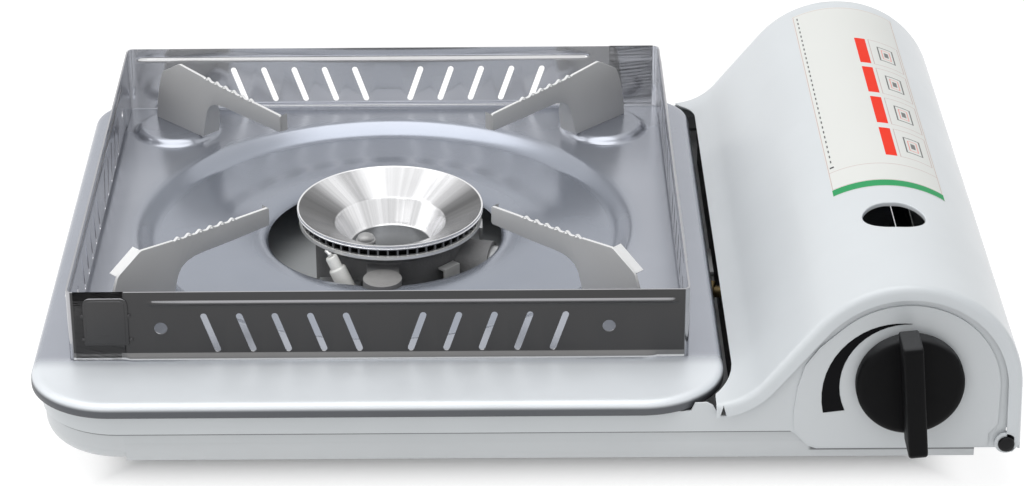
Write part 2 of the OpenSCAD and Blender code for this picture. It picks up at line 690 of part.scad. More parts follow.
module pipe_nuts() color("darkgoldenrod") {
    along_tube(tube_mouth + 11) difference() {
        cylinder(4.5, r = 4.4, $fn = 6);
        translate([0, 0, -1]) cylinder(7, r = pipe_bore);
    }
    translate([158, pipe_end.y, pipe_end.z]) rotate([0, 90, 0]) difference() {
        cylinder(5.5, r = 4.4, $fn = 6);
        translate([0, 0, -1]) cylinder(8, r = pipe_bore);
    }
}

// Bent stay beside the flame ring, from the pan's floor
module burner_stay() color(steel_grey) at_burner() rotate([0, 0, -44]) translate([32, -4, pan_z + sheet]) {
    cube([1, 8, 17.6]);
    translate([-2.6, 0, 16.6]) cube([3.6, 8, 1]);
    cube([7, 8, 1]);
}

// ---------------------------------------------------------------- ignition

module electrode_ceramic() color("white") difference() {
    union() {
        bar(electrode_top - 5 * electrode_axis, electrode_top, 2.3);
        bar(electrode_foot, electrode_top - 4.9 * electrode_axis, 3.3);
    }
    bar(electrode_foot - electrode_axis, electrode_top + electrode_axis, 0.7);
}

module electrode_needle() color("silver")
    bent_rod([electrode_foot - 1.5 * electrode_axis, electrode_top + 0.8 * electrode_axis, needle_tip], 0.6);

module electrode_bracket() color(steel_grey) difference() {
    translate([-24, -37, -12.6]) cube([15.5, 14, 1]);
    at_burner() translate([0, 0, -14]) cylinder(4, r = cup_radius);
    translate([electrode_foot.x - 0.9, electrode_foot.y + 0.3, electrode_foot.z]) cylinder(4, r = 4.1);
}

// Lead from the electrode's foot along the pan's front to the igniter
module ignition_lead() color("red") bent_rod([
    electrode_foot - 1.6 * electrode_axis, lead_bend, [lead_bend.x, lead_y, lead_bend.z],
    [lead_end.x, lead_y, lead_bend.z], lead_end], 1.2);

module piezo_igniter() color(dark) difference() {
    union() {
        translate([144, piezo_y, 0]) cube([16, 13, 14]);
        translate([160, piezo_y + 6.5, knob_z]) rotate([0, 90, 0]) cylinder(5, r = 4.6);
        translate(lead_end) cylinder(3, r = 2.2);
    }
    translate([152, piezo_y + 6.5, knob_z]) rotate([0, 90, 0]) cylinder(20, r = 2.65);
}

module igniter_striker() color("ivory") {
    translate([158, piezo_y + 6.5, knob_z]) rotate([0, 90, 0]) cylinder(knob_x - cam_base - 1 - 158, r = 2.6);
}

// ---------------------------------------------------------------- regulator and cartridge seat

module regulator_body() color([0.72, 0.72, 0.7]) difference() {
    union() {
        bar_y(knob_x, knob_z, regulator_y, regulator_y + regulator_depth, 15.6);
        bar_y(knob_x, knob_z, regulator_y - 3.5, regulator_y, 7);
        translate([163.5, pipe_end.y, pipe_end.z]) rotate([0, 90, 0]) cylinder(8, r = 5);
    }
    bar_y(knob_x, knob_z, regulator_y - 5, regulator_y + 14, spindle_radius + running_fit);
    translate([160, pipe_end.y, pipe_end.z]) rotate([0, 90, 0]) cylinder(8, r = pipe_bore);
}

module diaphragm_cover() color([0.75, 0.72, 0.6]) difference() {
    translate([knob_x - 9, regulator_y + 11, knob_z]) rotate([0, 90, 0]) cylinder(26, r = 9.6);
    bar_y(knob_x, knob_z, regulator_y - 1, regulator_y + regulator_depth + 1, 15.6);
    translate([knob_x - 14, regulator_y, knob_z - 12]) cube([16, 24, 24]);
}

module regulator_bracket() color(steel_grey) difference() {
    union() {
        translate([knob_x - 8, regulator_y - 3, knob_z - 20]) cube([16, 1.5, 40]);
        for (z = [knob_z - 20, knob_z + 18.5])
            translate([knob_x - 8, frame_lo.y + sheet, z]) cube([16, regulator_y - 1.5 - frame_lo.y - sheet, 1.5]);
        for (z = [knob_z - 18.5, knob_z + 12])
            translate([knob_x - 8, frame_lo.y + sheet, z]) cube([16, 1.5, 6.5]);
    }
    bar_y(knob_x, knob_z, regulator_y - 5, regulator_y + 2, 7);
    for (z = regulator_screw_z) bar_y(knob_x, z, frame_lo.y, frame_lo.y + 4, 1.6);
}

// Screws that hold the bracket, under the knob's skirt
module regulator_screws() color(steel_grey) for (z = regulator_screw_z)
    bar_y(knob_x, z, frame_lo.y - sheet, frame_lo.y + 5, 1.6);

module cartridge_collar() color([0.7, 0.7, 0.68]) difference() {
    bar_y(arch_x, cartridge_z, collar_front, collar_rear, 25.5);
    bar_y(arch_x, cartridge_z, collar_front + 4, collar_rear + 1, 23.8);
    bar_y(arch_x, cartridge_z, collar_front - 1, collar_front + 5, 4);
}

module collar_magnet() color(dark) difference() {
    bar_y(arch_x, cartridge_z, collar_front + 4, collar_front + 9, 23.8);
    bar_y(arch_x, cartridge_z, collar_front + 3, collar_front + 10, 18);
}

module valve_gasket() color("black") difference() {
    bar_y(arch_x, cartridge_z, collar_front + 4, collar_front + 6.5, 7);
    bar_y(arch_x, cartridge_z, collar_front + 3, collar_front + 8, 3.2);
}

module locating_key() color("silver")
    translate([arch_x - 2.5, collar_front + 9, cartridge_z + 19.4]) cube([5, 5, 4]);

// Strip that carries heat from the burner to a saddle under the cartridge
module heat_plate() color([0.8, 0.79, 0.76]) {
    strip_z = pan_z + 2 * sheet;
    finger = burner_at + 36 * [cos(20), sin(20)];
    saddle = cartridge_diameter / 2 + 0.1;
    translate([finger.x, saddle_y, strip_z]) cube([160.6 - finger.x, saddle_width, 1.2]);
    translate([finger.x, finger.y - 4, strip_z]) cube([1.2, 8, 17.6]);
    upright(saddle_y, saddle_width) polygon(concat(arc([arch_x, cartridge_z], saddle, -130, -90, 12),
        arc([arch_x, cartridge_z], saddle + 0.5, -90, -130, 12)));
}

// ---------------------------------------------------------------- knob

module knob() color(dark) {
    difference() {
        translate([knob_x, knob_back, knob_z]) rotate([90, 0, 0]) rotate_extrude() polygon([
            [0, 0], [knob_radius - 0.4, 0], [knob_radius, 0.5], [knob_radius, knob_disc - 2],
            [knob_radius - 1.6, knob_disc], [0, knob_disc]]);
        bar_y(knob_x, knob_z, knob_back - 4, knob_back + 1, spindle_radius);
    }
    // grip bar, a little longer above the axis and leaning to the left at the off position
    depth = knob_back - knob_disc;
    top = grip_length / 2 + grip_rise;
    low = grip_rise - grip_length / 2;
    translate([knob_x, 0, knob_z]) rotate([0, -grip_lean, 0]) translate([-grip_width / 2, 0, 0])
        rotate([90, 0, 90]) linear_extrude(grip_width) polygon([
            [depth, low], [depth, top], [knob_front + 1.2, top], [knob_front, top - 1.4],
            [knob_front, low + 1.6], [knob_front + 1.6, low]]);
}

module valve_spindle() color("goldenrod") bar_y(knob_x, knob_z, knob_back - 4, regulator_y + 12, spindle_radius);

// Spiral that lifts the striker as the knob turns towards full flame
module ignition_cam() color("ivory") difference() {
    upright(-134.5, 4) polygon([for (i = [0 : 60]) let (a = 180 - 6 * i, lift = min(1, i * 6 / knob_turn))
        [knob_x, knob_z] + (cam_base + (i * 6 > knob_turn + 25 ? 0 : cam_lift * lift)) * [cos(a), sin(a)]]);
    bar_y(knob_x, knob_z, -136, -129, spindle_radius);
}

// Printed wedge that shows the flame growing anticlockwise
module knob_index() color("black") {
    outer = [for (i = [0 : 16]) let (a = 90 + 114 * i / 16)
        [knob_x, knob_z] + (21.3 + 10.3 * pow(i / 16, 1.25)) * [cos(a), sin(a)]];
    inner = [for (i = [0 : 16]) let (a = 90 + 119 * i / 16)
        [knob_x, knob_z] + (21.2 + 3.4 * pow(i / 16, 1.3)) * [cos(a), sin(a)]];
    upright(frame_lo.y - sheet - 0.12, 0.12) polygon(concat(outer, reversed(inner)));
}

// ---------------------------------------------------------------- cartridge cover

module cover() color(paint) difference() {
    union() {
        cover_band(cover_front + sheet, cover_rear - sheet, 0, sheet);
        for (y = [cover_front, cover_rear - sheet]) {
            cover_band(y, y + sheet, 0, cover_flange);
            bar_y(hinge_x, hinge_z, y, y + sheet, hinge_lug);
        }
    }
    bar_y(hinge_x, hinge_z, cover_front - 1, cover_rear + 1, hinge_pin + running_fit);
    // the edge beside the plate follows the plate's outline
    translate([0, 0, -30]) linear_extrude(60)
        rounded_plan(plate_lo - [plate_gap, plate_gap], plate_hi + [plate_gap, plate_gap],
            [plate_front_radius, plate_front_radius + plate_gap, plate_rear_radius + plate_gap, 0]);
    // notch beside the toe of the front flange
    upright(cover_front - 1, 3) polygon([[119.6, -2.5], [118, -8], [121.2, -8]]);
    // lower right corner of both end faces, rounded off beside the hinge
    for (y = [cover_front - 1, cover_rear - 2]) upright(y, 3)
        polygon([[223, -16.8], [222.3, -16.8], [220.8, -19.2], [219.2, -21.1], [219.2, -23], [223, -23]]);
    // look-in window over the regulator
    translate([window_at.x, window_at.y, 30]) linear_extrude(20) slot_plan(window_size.x, window_size.y);
    // right wall is notched beside the body's hinge ears
    for (y = [cover_front + sheet, cover_rear - sheet - 6])
        translate([hinge_x, y, cover_end_z - 1]) cube([10, 6, 7.5]);
}

// Printed film on the cover's crown
module cover_label() color("ivory") {
    film = 0.12;
    film_front = -60.4;
    film_rear = 108;
    centre = [arch_x, arch_z];
    upright(film_front, film_rear - film_front) polygon(concat(arc(centre, arch_radius + film, 57, 117.2, 40),
        arc(centre, arch_radius + 0.02, 117.2, 57, 40)));
}

module cover_hinge_pins() color(dark) for (s = [0, 1])
    translate([hinge_x, s == 0 ? cover_front - 0.3 : cover_rear + 0.3, hinge_z]) rotate([s == 0 ? -90 : 90, 0, 0]) {
        rotate_extrude() polygon([[0, -1.5], [2, -1.5], [2.85, -0.9], [2.85, 0], [0, 0]]);
        cylinder(s == 0 ? 5.5 : 4.8, r = hinge_pin);
    }

// Spring clip on the partition that grips the cover's left edge
module cover_catch() color("silver") {
    translate([126 + sheet, 16, -10]) cube([0.8, 12, 8.4]);
    translate([126 + sheet, 16, -10]) cube([4, 12, 0.8]);
}

// ---------------------------------------------------------------- placing

module in_place() translate([-footprint_x, -footprint_y, deck_height]) children();

in_place() base_pan();
in_place() cartridge_trough();
in_place() body_frame();
in_place() bay_partition();
in_place() rubber_feet();
in_place() body_screws();
in_place() top_plate();
in_place() pot_support_rear_left();
in_place() pot_support_rear_right();
in_place() pot_support_front_left();
in_place() pot_support_front_right();
in_place() wind_guard_front_right();
in_place() wind_guard_rear_left();
in_place() burner_base();
in_place() flame_ring();
in_place() burner_cap();
in_place() burner_cap_screw();
in_place() burner_fixing_screws();
in_place() mixing_tube();
in_place() air_collar();
in_place() injector();
in_place() gas_pipe();
in_place() pipe_nuts();
in_place() burner_stay();
in_place() electrode_ceramic();
in_place() electrode_needle();
in_place() electrode_bracket();
in_place() ignition_lead();
in_place() piezo_igniter();
in_place() igniter_striker();
in_place() regulator_body();
in_place() diaphragm_cover();
in_place() regulator_bracket();
in_place() regulator_screws();
in_place() cartridge_collar();
in_place() collar_magnet();
in_place() valve_gasket();
in_place() locating_key();
in_place() heat_plate();
in_place() knob();
in_place() valve_spindle();
in_place() ignition_cam();
in_place() knob_index();
in_place() cover();
in_place() cover_label();
in_place() cover_hinge_pins();
in_place() cover_catch();
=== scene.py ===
"""Looks of a tabletop butane cassette stove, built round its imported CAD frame."""
import logging
import math
from dataclasses import dataclass, field
from enum import Enum
from typing import Callable, Iterable, Optional, Sequence, Union

import bmesh
import bpy
from bmesh.types import BMEdge, BMesh, BMFace, BMVert
from mathutils import Matrix, Vector


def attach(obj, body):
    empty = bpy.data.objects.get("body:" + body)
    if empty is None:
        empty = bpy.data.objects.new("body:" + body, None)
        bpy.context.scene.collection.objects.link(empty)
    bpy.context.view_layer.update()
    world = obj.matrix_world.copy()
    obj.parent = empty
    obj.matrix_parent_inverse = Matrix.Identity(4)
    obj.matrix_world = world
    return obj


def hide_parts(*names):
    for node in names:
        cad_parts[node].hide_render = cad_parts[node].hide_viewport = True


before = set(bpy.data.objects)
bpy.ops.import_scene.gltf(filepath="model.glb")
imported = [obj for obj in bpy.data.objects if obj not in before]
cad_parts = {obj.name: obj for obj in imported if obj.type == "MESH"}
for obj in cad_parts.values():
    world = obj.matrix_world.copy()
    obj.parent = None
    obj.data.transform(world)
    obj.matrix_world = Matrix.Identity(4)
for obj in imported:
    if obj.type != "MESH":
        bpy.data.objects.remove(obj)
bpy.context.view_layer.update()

log = logging.getLogger("stove")

Colour = tuple[float, float, float]
Point2 = tuple[float, float]
Value = Union[float, tuple, bpy.types.NodeSocket]

DECK_CENTRE = Vector((-0.05085, 0.0201, 0.038))
"""Where the middle of the dish, at the height of the plate's flat top, lies in the row frame."""


# ------------------------------------------------------------------ mesh tools


def polar(centre: Point2, radius: float, degrees: float) -> Point2:
    """Point at an angle on a circle."""
    a = math.radians(degrees)
    return centre[0] + radius * math.cos(a), centre[1] + radius * math.sin(a)


def blend(t: float) -> float:
    """Smooth step from 0 to 1, held at its ends."""
    t = min(1.0, max(0.0, t))
    return t * t * (3.0 - 2.0 * t)


def smooth_line(points: Sequence[Point2], parts: int) -> list[Point2]:
    """Draws a smooth line through points.

    Args:
        points: The points that it passes through.
        parts: Stretches between two points.

    Returns:
        The points of the finer line.
    """
    line: list[Point2] = []
    for i in range(len(points) - 1):
        p0, p1 = Vector(points[max(i - 1, 0)]), Vector(points[i])
        p2, p3 = Vector(points[i + 1]), Vector(points[min(i + 2, len(points) - 1)])
        for k in range(parts):
            t = k / parts
            p = 0.5 * (2 * p1 + (p2 - p0) * t + (2 * p0 - 5 * p1 + 4 * p2 - p3) * t * t
                       + (3 * p1 - p0 - 3 * p2 + p3) * t ** 3)
            line.append((p.x, p.y))
    return line + [points[-1]]


def round_rectangle(low: Point2, high: Point2, radii: Sequence[float], inset: float, steps: int) -> list[Point2]:
    """Rectangle with its own radius at each corner, moved inwards.

    Args:
        low: Front left corner.
        high: Rear right corner.
        radii: Radii at front left, front right, rear right and rear left.
        inset: How far the outline moves inwards.
        steps: Stretches in each corner.

    Returns:
        The outline's points, counted anticlockwise from above.
    """
    corners = ((low[0], low[1], 1, 1, 180), (high[0], low[1], -1, 1, 270),
               (high[0], high[1], -1, -1, 0), (low[0], high[1], 1, -1, 90))
    points: list[Point2] = []
    for (x, y, sx, sy, start), radius in zip(corners, radii):
        centre = (x + sx * radius, y + sy * radius)
        points += [polar(centre, max(radius - inset, 0.05), start + 90 * k / steps) for k in range(steps + 1)]
    return points


def chain(bm: BMesh, points: Sequence[Sequence[float]], closed: bool) -> tuple[list[BMVert], list[BMEdge]]:
    """Draws a line of edges through points.

    Args:
        bm: Mesh that takes the line.
        points: Points in space.
        closed: Whether the last point joins the first.

    Returns:
        The line's vertices and edges, in order.
    """
    verts = [bm.verts.new(p) for p in points]
    edges = [bm.edges.new((verts[i - 1], verts[i])) for i in range(0 if closed else 1, len(verts))]
    return verts, edges


def loft(bm: BMesh, rings: Sequence[Sequence[Sequence[float]]], closed: bool = False) -> list[BMVert]:
    """Extrudes a line from ring to ring.

    Args:
        bm: Mesh that takes the skin.
        rings: Lines with the same number of points each.
        closed: Whether each line is a closed loop.

    Returns:
        The vertices of the last ring, in order.
    """
    verts, edges = chain(bm, rings[0], closed)
    for ring in rings[1:]:
        grown = bmesh.ops.extrude_edge_only(bm, edges=edges)["geom"]
        fresh = {v for v in grown if isinstance(v, BMVert)}
        edges = [e for e in grown if isinstance(e, BMEdge) and e.verts[0] in fresh and e.verts[1] in fresh]
        twin = {tuple(v.co): v for v in fresh}
        verts = [twin[tuple(v.co)] for v in verts]
        for vert, place in zip(verts, ring):
            vert.co = place
    return verts


def turned(bm: BMesh, section: Sequence[Point2], steps: int, centre: Sequence[float] = (0, 0, 0),
           matrix: Optional[Matrix] = None) -> list[BMVert]:
    """Spins a section, given as radius and height, round an upright axis.

    Args:
        bm: Mesh that takes the skin.
        section: Points of the section, from one end to the other.
        steps: Stretches round the axis.
        centre: Where the axis meets height zero.
        matrix: Turn and shift applied to the finished skin, before its centre is set.

    Returns:
        The skin's vertices.
    """
    part = bmesh.new()
    verts, edges = chain(part, [(r, 0.0, z) for r, z in section], False)
    bmesh.ops.spin(part, geom=verts + edges, cent=(0, 0, 0), axis=(0, 0, 1), dvec=(0, 0, 0),
                   angle=math.tau, steps=steps, use_merge=True)
    bmesh.ops.remove_doubles(part, verts=part.verts, dist=1e-4)
    if matrix is not None:
        bmesh.ops.transform(part, matrix=matrix, verts=part.verts)
    bmesh.ops.translate(part, vec=centre, verts=part.verts)
    return take_in(bm, part)


def take_in(bm: BMesh, part: BMesh) -> list[BMVert]:
    """Copies one mesh into another and frees the first.

    Args:
        bm: Mesh that takes the copy.
        part: Mesh that is copied.

    Returns:
        The copied vertices.
    """
    before = len(bm.verts)
    carrier = bpy.data.meshes.new("carrier")
    part.to_mesh(carrier)
    part.free()
    bm.from_mesh(carrier)
    bpy.data.meshes.remove(carrier)
    bm.verts.ensure_lookup_table()
    return [bm.verts[i] for i in range(before, len(bm.verts))]


def slab(bm: BMesh, outline: Sequence[Sequence[float]], push: Sequence[float], bevel: float = 0.0,
         segments: int = 2) -> None:
    """Makes a flat plate from an outline.

    Args:
        bm: Mesh that takes the plate.
        outline: The outline's points in one plane.
        push: Way and length of its thickness.
        bevel: Width of the rounding on its edges.
        segments: Stretches across the rounding.
    """
    part = bmesh.new()
    _, edges = chain(part, outline, True)
    face = bmesh.ops.contextual_create(part, geom=edges)["faces"]
    grown = bmesh.ops.extrude_face_region(part, geom=face)["geom"]
    bmesh.ops.translate(part, vec=push, verts=[v for v in grown if isinstance(v, BMVert)])
    bmesh.ops.recalc_face_normals(part, faces=part.faces)
    if bevel:
        sharp = [e for e in part.edges if len(e.link_faces) == 2 and e.calc_face_angle(0.0) > math.radians(28)]
        bmesh.ops.bevel(part, geom=sharp, offset=bevel, segments=segments, profile=0.5, affect="EDGES",
                        material=-1, clamp_overlap=True)
    take_in(bm, part)


def block(bm: BMesh, low: Sequence[float], high: Sequence[float], bevel: float, segments: int = 2,
          matrix: Optional[Matrix] = None) -> None:
    """Makes a box with rounded edges.

    Args:
        bm: Mesh that takes the box.
        low: Lowest corner.
        high: Highest corner.
        bevel: Width of the rounding on its edges.
        segments: Stretches across the rounding.
        matrix: Turn and shift of the finished box.
    """
    part = bmesh.new()
    bmesh.ops.create_cube(part, size=1.0)
    size = Vector(high) - Vector(low)
    bmesh.ops.scale(part, vec=size, verts=part.verts)
    bmesh.ops.translate(part, vec=(Vector(low) + Vector(high)) / 2, verts=part.verts)
    if bevel:
        bmesh.ops.bevel(part, geom=part.edges[:], offset=bevel, segments=segments, profile=0.5,
                        affect="EDGES", material=-1, clamp_overlap=True)
    if matrix is not None:
        bmesh.ops.transform(part, matrix=matrix, verts=part.verts)
    take_in(bm, part)


def up_to(way: Vector, origin: Vector) -> Matrix:
    """Matrix that stands +Z along a way, at an origin."""
    return Matrix.Translation(origin) @ way.to_track_quat("Z", "X").to_matrix().to_4x4()


@dataclass
class Assembly:
    """What each sub-assembly needs to turn its meshes into pieces of the stove."""

    finishes: "FinishShop"
    pieces: list[str] = field(default_factory=list)

    def piece(self, name: str, bm: BMesh, body: str, slot: str, finish: str, replaces: Iterable[str] = (),
              crease: float = 32.0, sheet: float = 0.0, face_up: Optional[Callable[[BMFace], float]] = None,
              recalculate: bool = True, sheet_offset: float = -1.0) -> bpy.types.Object:
        """Turns a mesh drawn in deck millimetres into a finished piece.

        Args:
            name: The piece's name.
            bm: Its mesh, which is freed.
            body: CAD body that it rides on.
            slot: Material slot of the record; not used.
            finish: Name of its finish.
            replaces: CAD nodes that it stands for.
            crease: Angle in degrees above which an edge stays sharp.
            sheet: Thickness of the sheet that the skin is given, in millimetres.
            face_up: Sum over faces that has to be positive for an open skin to face outwards.
            recalculate: Whether the faces are turned outwards first.
            sheet_offset: Side of the skin that the thickness goes to.

        Returns:
            The new object.
        """
        bmesh.ops.remove_doubles(bm, verts=bm.verts, dist=0.004)
        if recalculate:
            bmesh.ops.recalc_face_normals(bm, faces=bm.faces)
        if face_up is not None and sum(face_up(f) for f in bm.faces) < 0:
            bmesh.ops.reverse_faces(bm, faces=bm.faces)
        bmesh.ops.scale(bm, vec=(0.001,) * 3, verts=bm.verts)
        bmesh.ops.translate(bm, vec=DECK_CENTRE, verts=bm.verts)
        for edge in bm.edges:
            edge.smooth = len(edge.link_faces) == 2 and edge.calc_face_angle(0.0) < math.radians(crease)
        for face in bm.faces:
            face.smooth = True
        mesh = bpy.data.meshes.new(name)
        bm.to_mesh(mesh)
        bm.free()
        obj = bpy.data.objects.new(name, mesh)
        bpy.context.scene.collection.objects.link(obj)
        mesh.materials.append(self.finishes.material(finish))
        if sheet:
            wall = obj.modifiers.new("sheet", "SOLIDIFY")
            wall.thickness, wall.offset, wall.use_even_offset = sheet / 1000.0, sheet_offset, True
        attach(obj, body)
        if replaces:
            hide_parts(*replaces)
        self.pieces.append(name)
        return obj

    def softened(self, node: str, body: str, slot: str, finish: str, width: float = 0.25,
                 crease: float = 30.0) -> bpy.types.Object:
        """Stands a copy of a CAD node, with its edges broken, in the node's place.

        Args:
            node: The CAD node.
            body: CAD body that it rides on.
            slot: Material slot of the record; not used.
            finish: Name of its finish.
            width: Width of the broken edges, in millimetres.
            crease: Angle in degrees above which an edge is broken.

        Returns:
            The new object.
        """
        bm = bmesh.new()
        bm.from_mesh(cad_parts[node].data)
        bmesh.ops.translate(bm, vec=-DECK_CENTRE, verts=bm.verts)
        bmesh.ops.scale(bm, vec=(1000.0,) * 3, verts=bm.verts)
        bmesh.ops.remove_doubles(bm, verts=bm.verts, dist=0.002)
        bmesh.ops.dissolve_limit(bm, angle_limit=math.radians(0.8), use_dissolve_boundaries=False,
                                 verts=bm.verts, edges=bm.edges, delimit={"NORMAL"})
        sharp = [e for e in bm.edges if len(e.link_faces) == 2 and e.calc_face_angle(0.0) > math.radians(crease)]
        bmesh.ops.bevel(bm, geom=sharp, offset=width, segments=2, profile=0.5, affect="EDGES", material=-1,
                        clamp_overlap=True)
        return self.piece(node + "_edged", bm, body, slot, finish, (node,), crease=38.0, recalculate=False)

    def dress(self, node: str, finish: str) -> None:
        """Gives a CAD node that stays a finish."""
        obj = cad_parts[node]
        obj.data.materials.clear()
        obj.data.materials.append(self.finishes.material(finish))
        self.pieces.append(node)


# ------------------------------------------------------------------ node tools


class NodeDesk:
    """Short calls for the nodes of one material or group."""

    def __init__(self, tree: bpy.types.NodeTree) -> None:
        """Starts on an empty tree."""
        self.tree = tree
        tree.nodes.clear()

    def add(self, kind: str, **settings: object) -> bpy.types.Node:
        """Adds a node and sets its properties."""
        node = self.tree.nodes.new(kind)
        for name, value in settings.items():
            setattr(node, name, value)
        return node

    def feed(self, socket: bpy.types.NodeSocket, value: Value) -> None:
        """Links a socket to another, or sets its value."""
        if isinstance(value, bpy.types.NodeSocket):
            self.tree.links.new(value, socket)
        else:
            if isinstance(value, tuple):
                value = (*value, 1.0)[:len(socket.default_value)]
            socket.default_value = value

    def math(self, operation: str, a: Value, b: Value = 0.0, c: Value = 0.0, clamp: bool = False) -> bpy.types.NodeSocket:
        """Adds a Math node and gives its result."""
        node = self.add("ShaderNodeMath", operation=operation, use_clamp=clamp)
        for socket, value in zip(node.inputs, (a, b, c)):
            self.feed(socket, value)
        return node.outputs[0]

    def mix(self, factor: Value, a: Value, b: Value) -> bpy.types.NodeSocket:
        """Mixes two colours."""
        node = self.add("ShaderNodeMix", data_type="RGBA")
        self.feed(node.inputs[0], factor)
        self.feed(node.inputs[6], a)
        self.feed(node.inputs[7], b)
        return node.outputs[2]

    def span(self, value: Value, low: float, high: float, to_low: float = 0.0, to_high: float = 1.0,
             smooth: bool = True) -> bpy.types.NodeSocket:
        """Maps a value from one span to another, with a smooth step or straight."""
        node = self.add("ShaderNodeMapRange", interpolation_type="SMOOTHSTEP" if smooth else "LINEAR")
        for socket, v in zip(node.inputs, (value, low, high, to_low, to_high)):
            self.feed(socket, v)
        return node.outputs[0]

    def noise(self, place: Value, scale: float, detail: float = 2.0, roughness: float = 0.5) -> bpy.types.NodeSocket:
        """Adds a noise and gives its value."""
        node = self.add("ShaderNodeTexNoise")
        self.feed(node.inputs["Vector"], place)
        self.feed(node.inputs["Scale"], scale)
        self.feed(node.inputs["Detail"], detail)
        self.feed(node.inputs["Roughness"], roughness)
        return node.outputs[0]

    def ramp(self, value: Value, stops: Sequence[tuple[float, Colour]], ease: bool = False) -> bpy.types.NodeSocket:
        """Adds a colour ramp and gives its colour."""
        node = self.add("ShaderNodeValToRGB")
        node.color_ramp.interpolation = "EASE" if ease else "LINEAR"
        elements = node.color_ramp.elements
        while len(elements) < len(stops):
            elements.new(0.5)
        for element, (place, colour) in zip(elements, stops):
            element.position, element.color = place, (*colour, 1.0)
        self.feed(node.inputs[0], value)
        return node.outputs[0]

    def mapping(self, place: Value, shift: Sequence[float] = (0, 0, 0), scale: Sequence[float] = (1, 1, 1),
                turn: Sequence[float] = (0, 0, 0)) -> bpy.types.NodeSocket:
        """Moves, turns and scales coordinates."""
        node = self.add("ShaderNodeMapping")
        self.feed(node.inputs["Vector"], place)
        node.inputs["Location"].default_value = shift
        node.inputs["Rotation"].default_value = turn
        node.inputs["Scale"].default_value = scale
        return node.outputs[0]

    def bump(self, height: Value, strength: float, distance: float, normal: Optional[Value] = None) -> bpy.types.NodeSocket:
        """Adds a Bump node and gives its normal."""
        node = self.add("ShaderNodeBump")
        self.feed(node.inputs["Strength"], strength)
        self.feed(node.inputs["Distance"], distance)
        self.feed(node.inputs["Height"], height)
        if normal is not None:
            self.feed(node.inputs["Normal"], normal)
        return node.outputs[0]

    def ring_place(self, radius: Value) -> bpy.types.NodeSocket:
        """Coordinates that change only with a radius, for turned rings."""
        node = self.add("ShaderNodeCombineXYZ")
        self.feed(node.inputs[0], self.math("MULTIPLY", radius, 3.5))
        return node.outputs[0]

    def split(self, vector: Value) -> tuple[bpy.types.NodeSocket, ...]:
        """Splits a vector into X, Y and Z."""
        node = self.add("ShaderNodeSeparateXYZ")
        self.feed(node.inputs[0], vector)
        return tuple(node.outputs)


class Effect(Enum):
    """Effects that several finishes share, each a node group."""

    MOTTLE = "soft_mottle"
    GRAIN = "drawn_grain"
    PEEL = "paint_peel"
    PRINT_BOX = "print_box"
    PLACE = "deck_place"


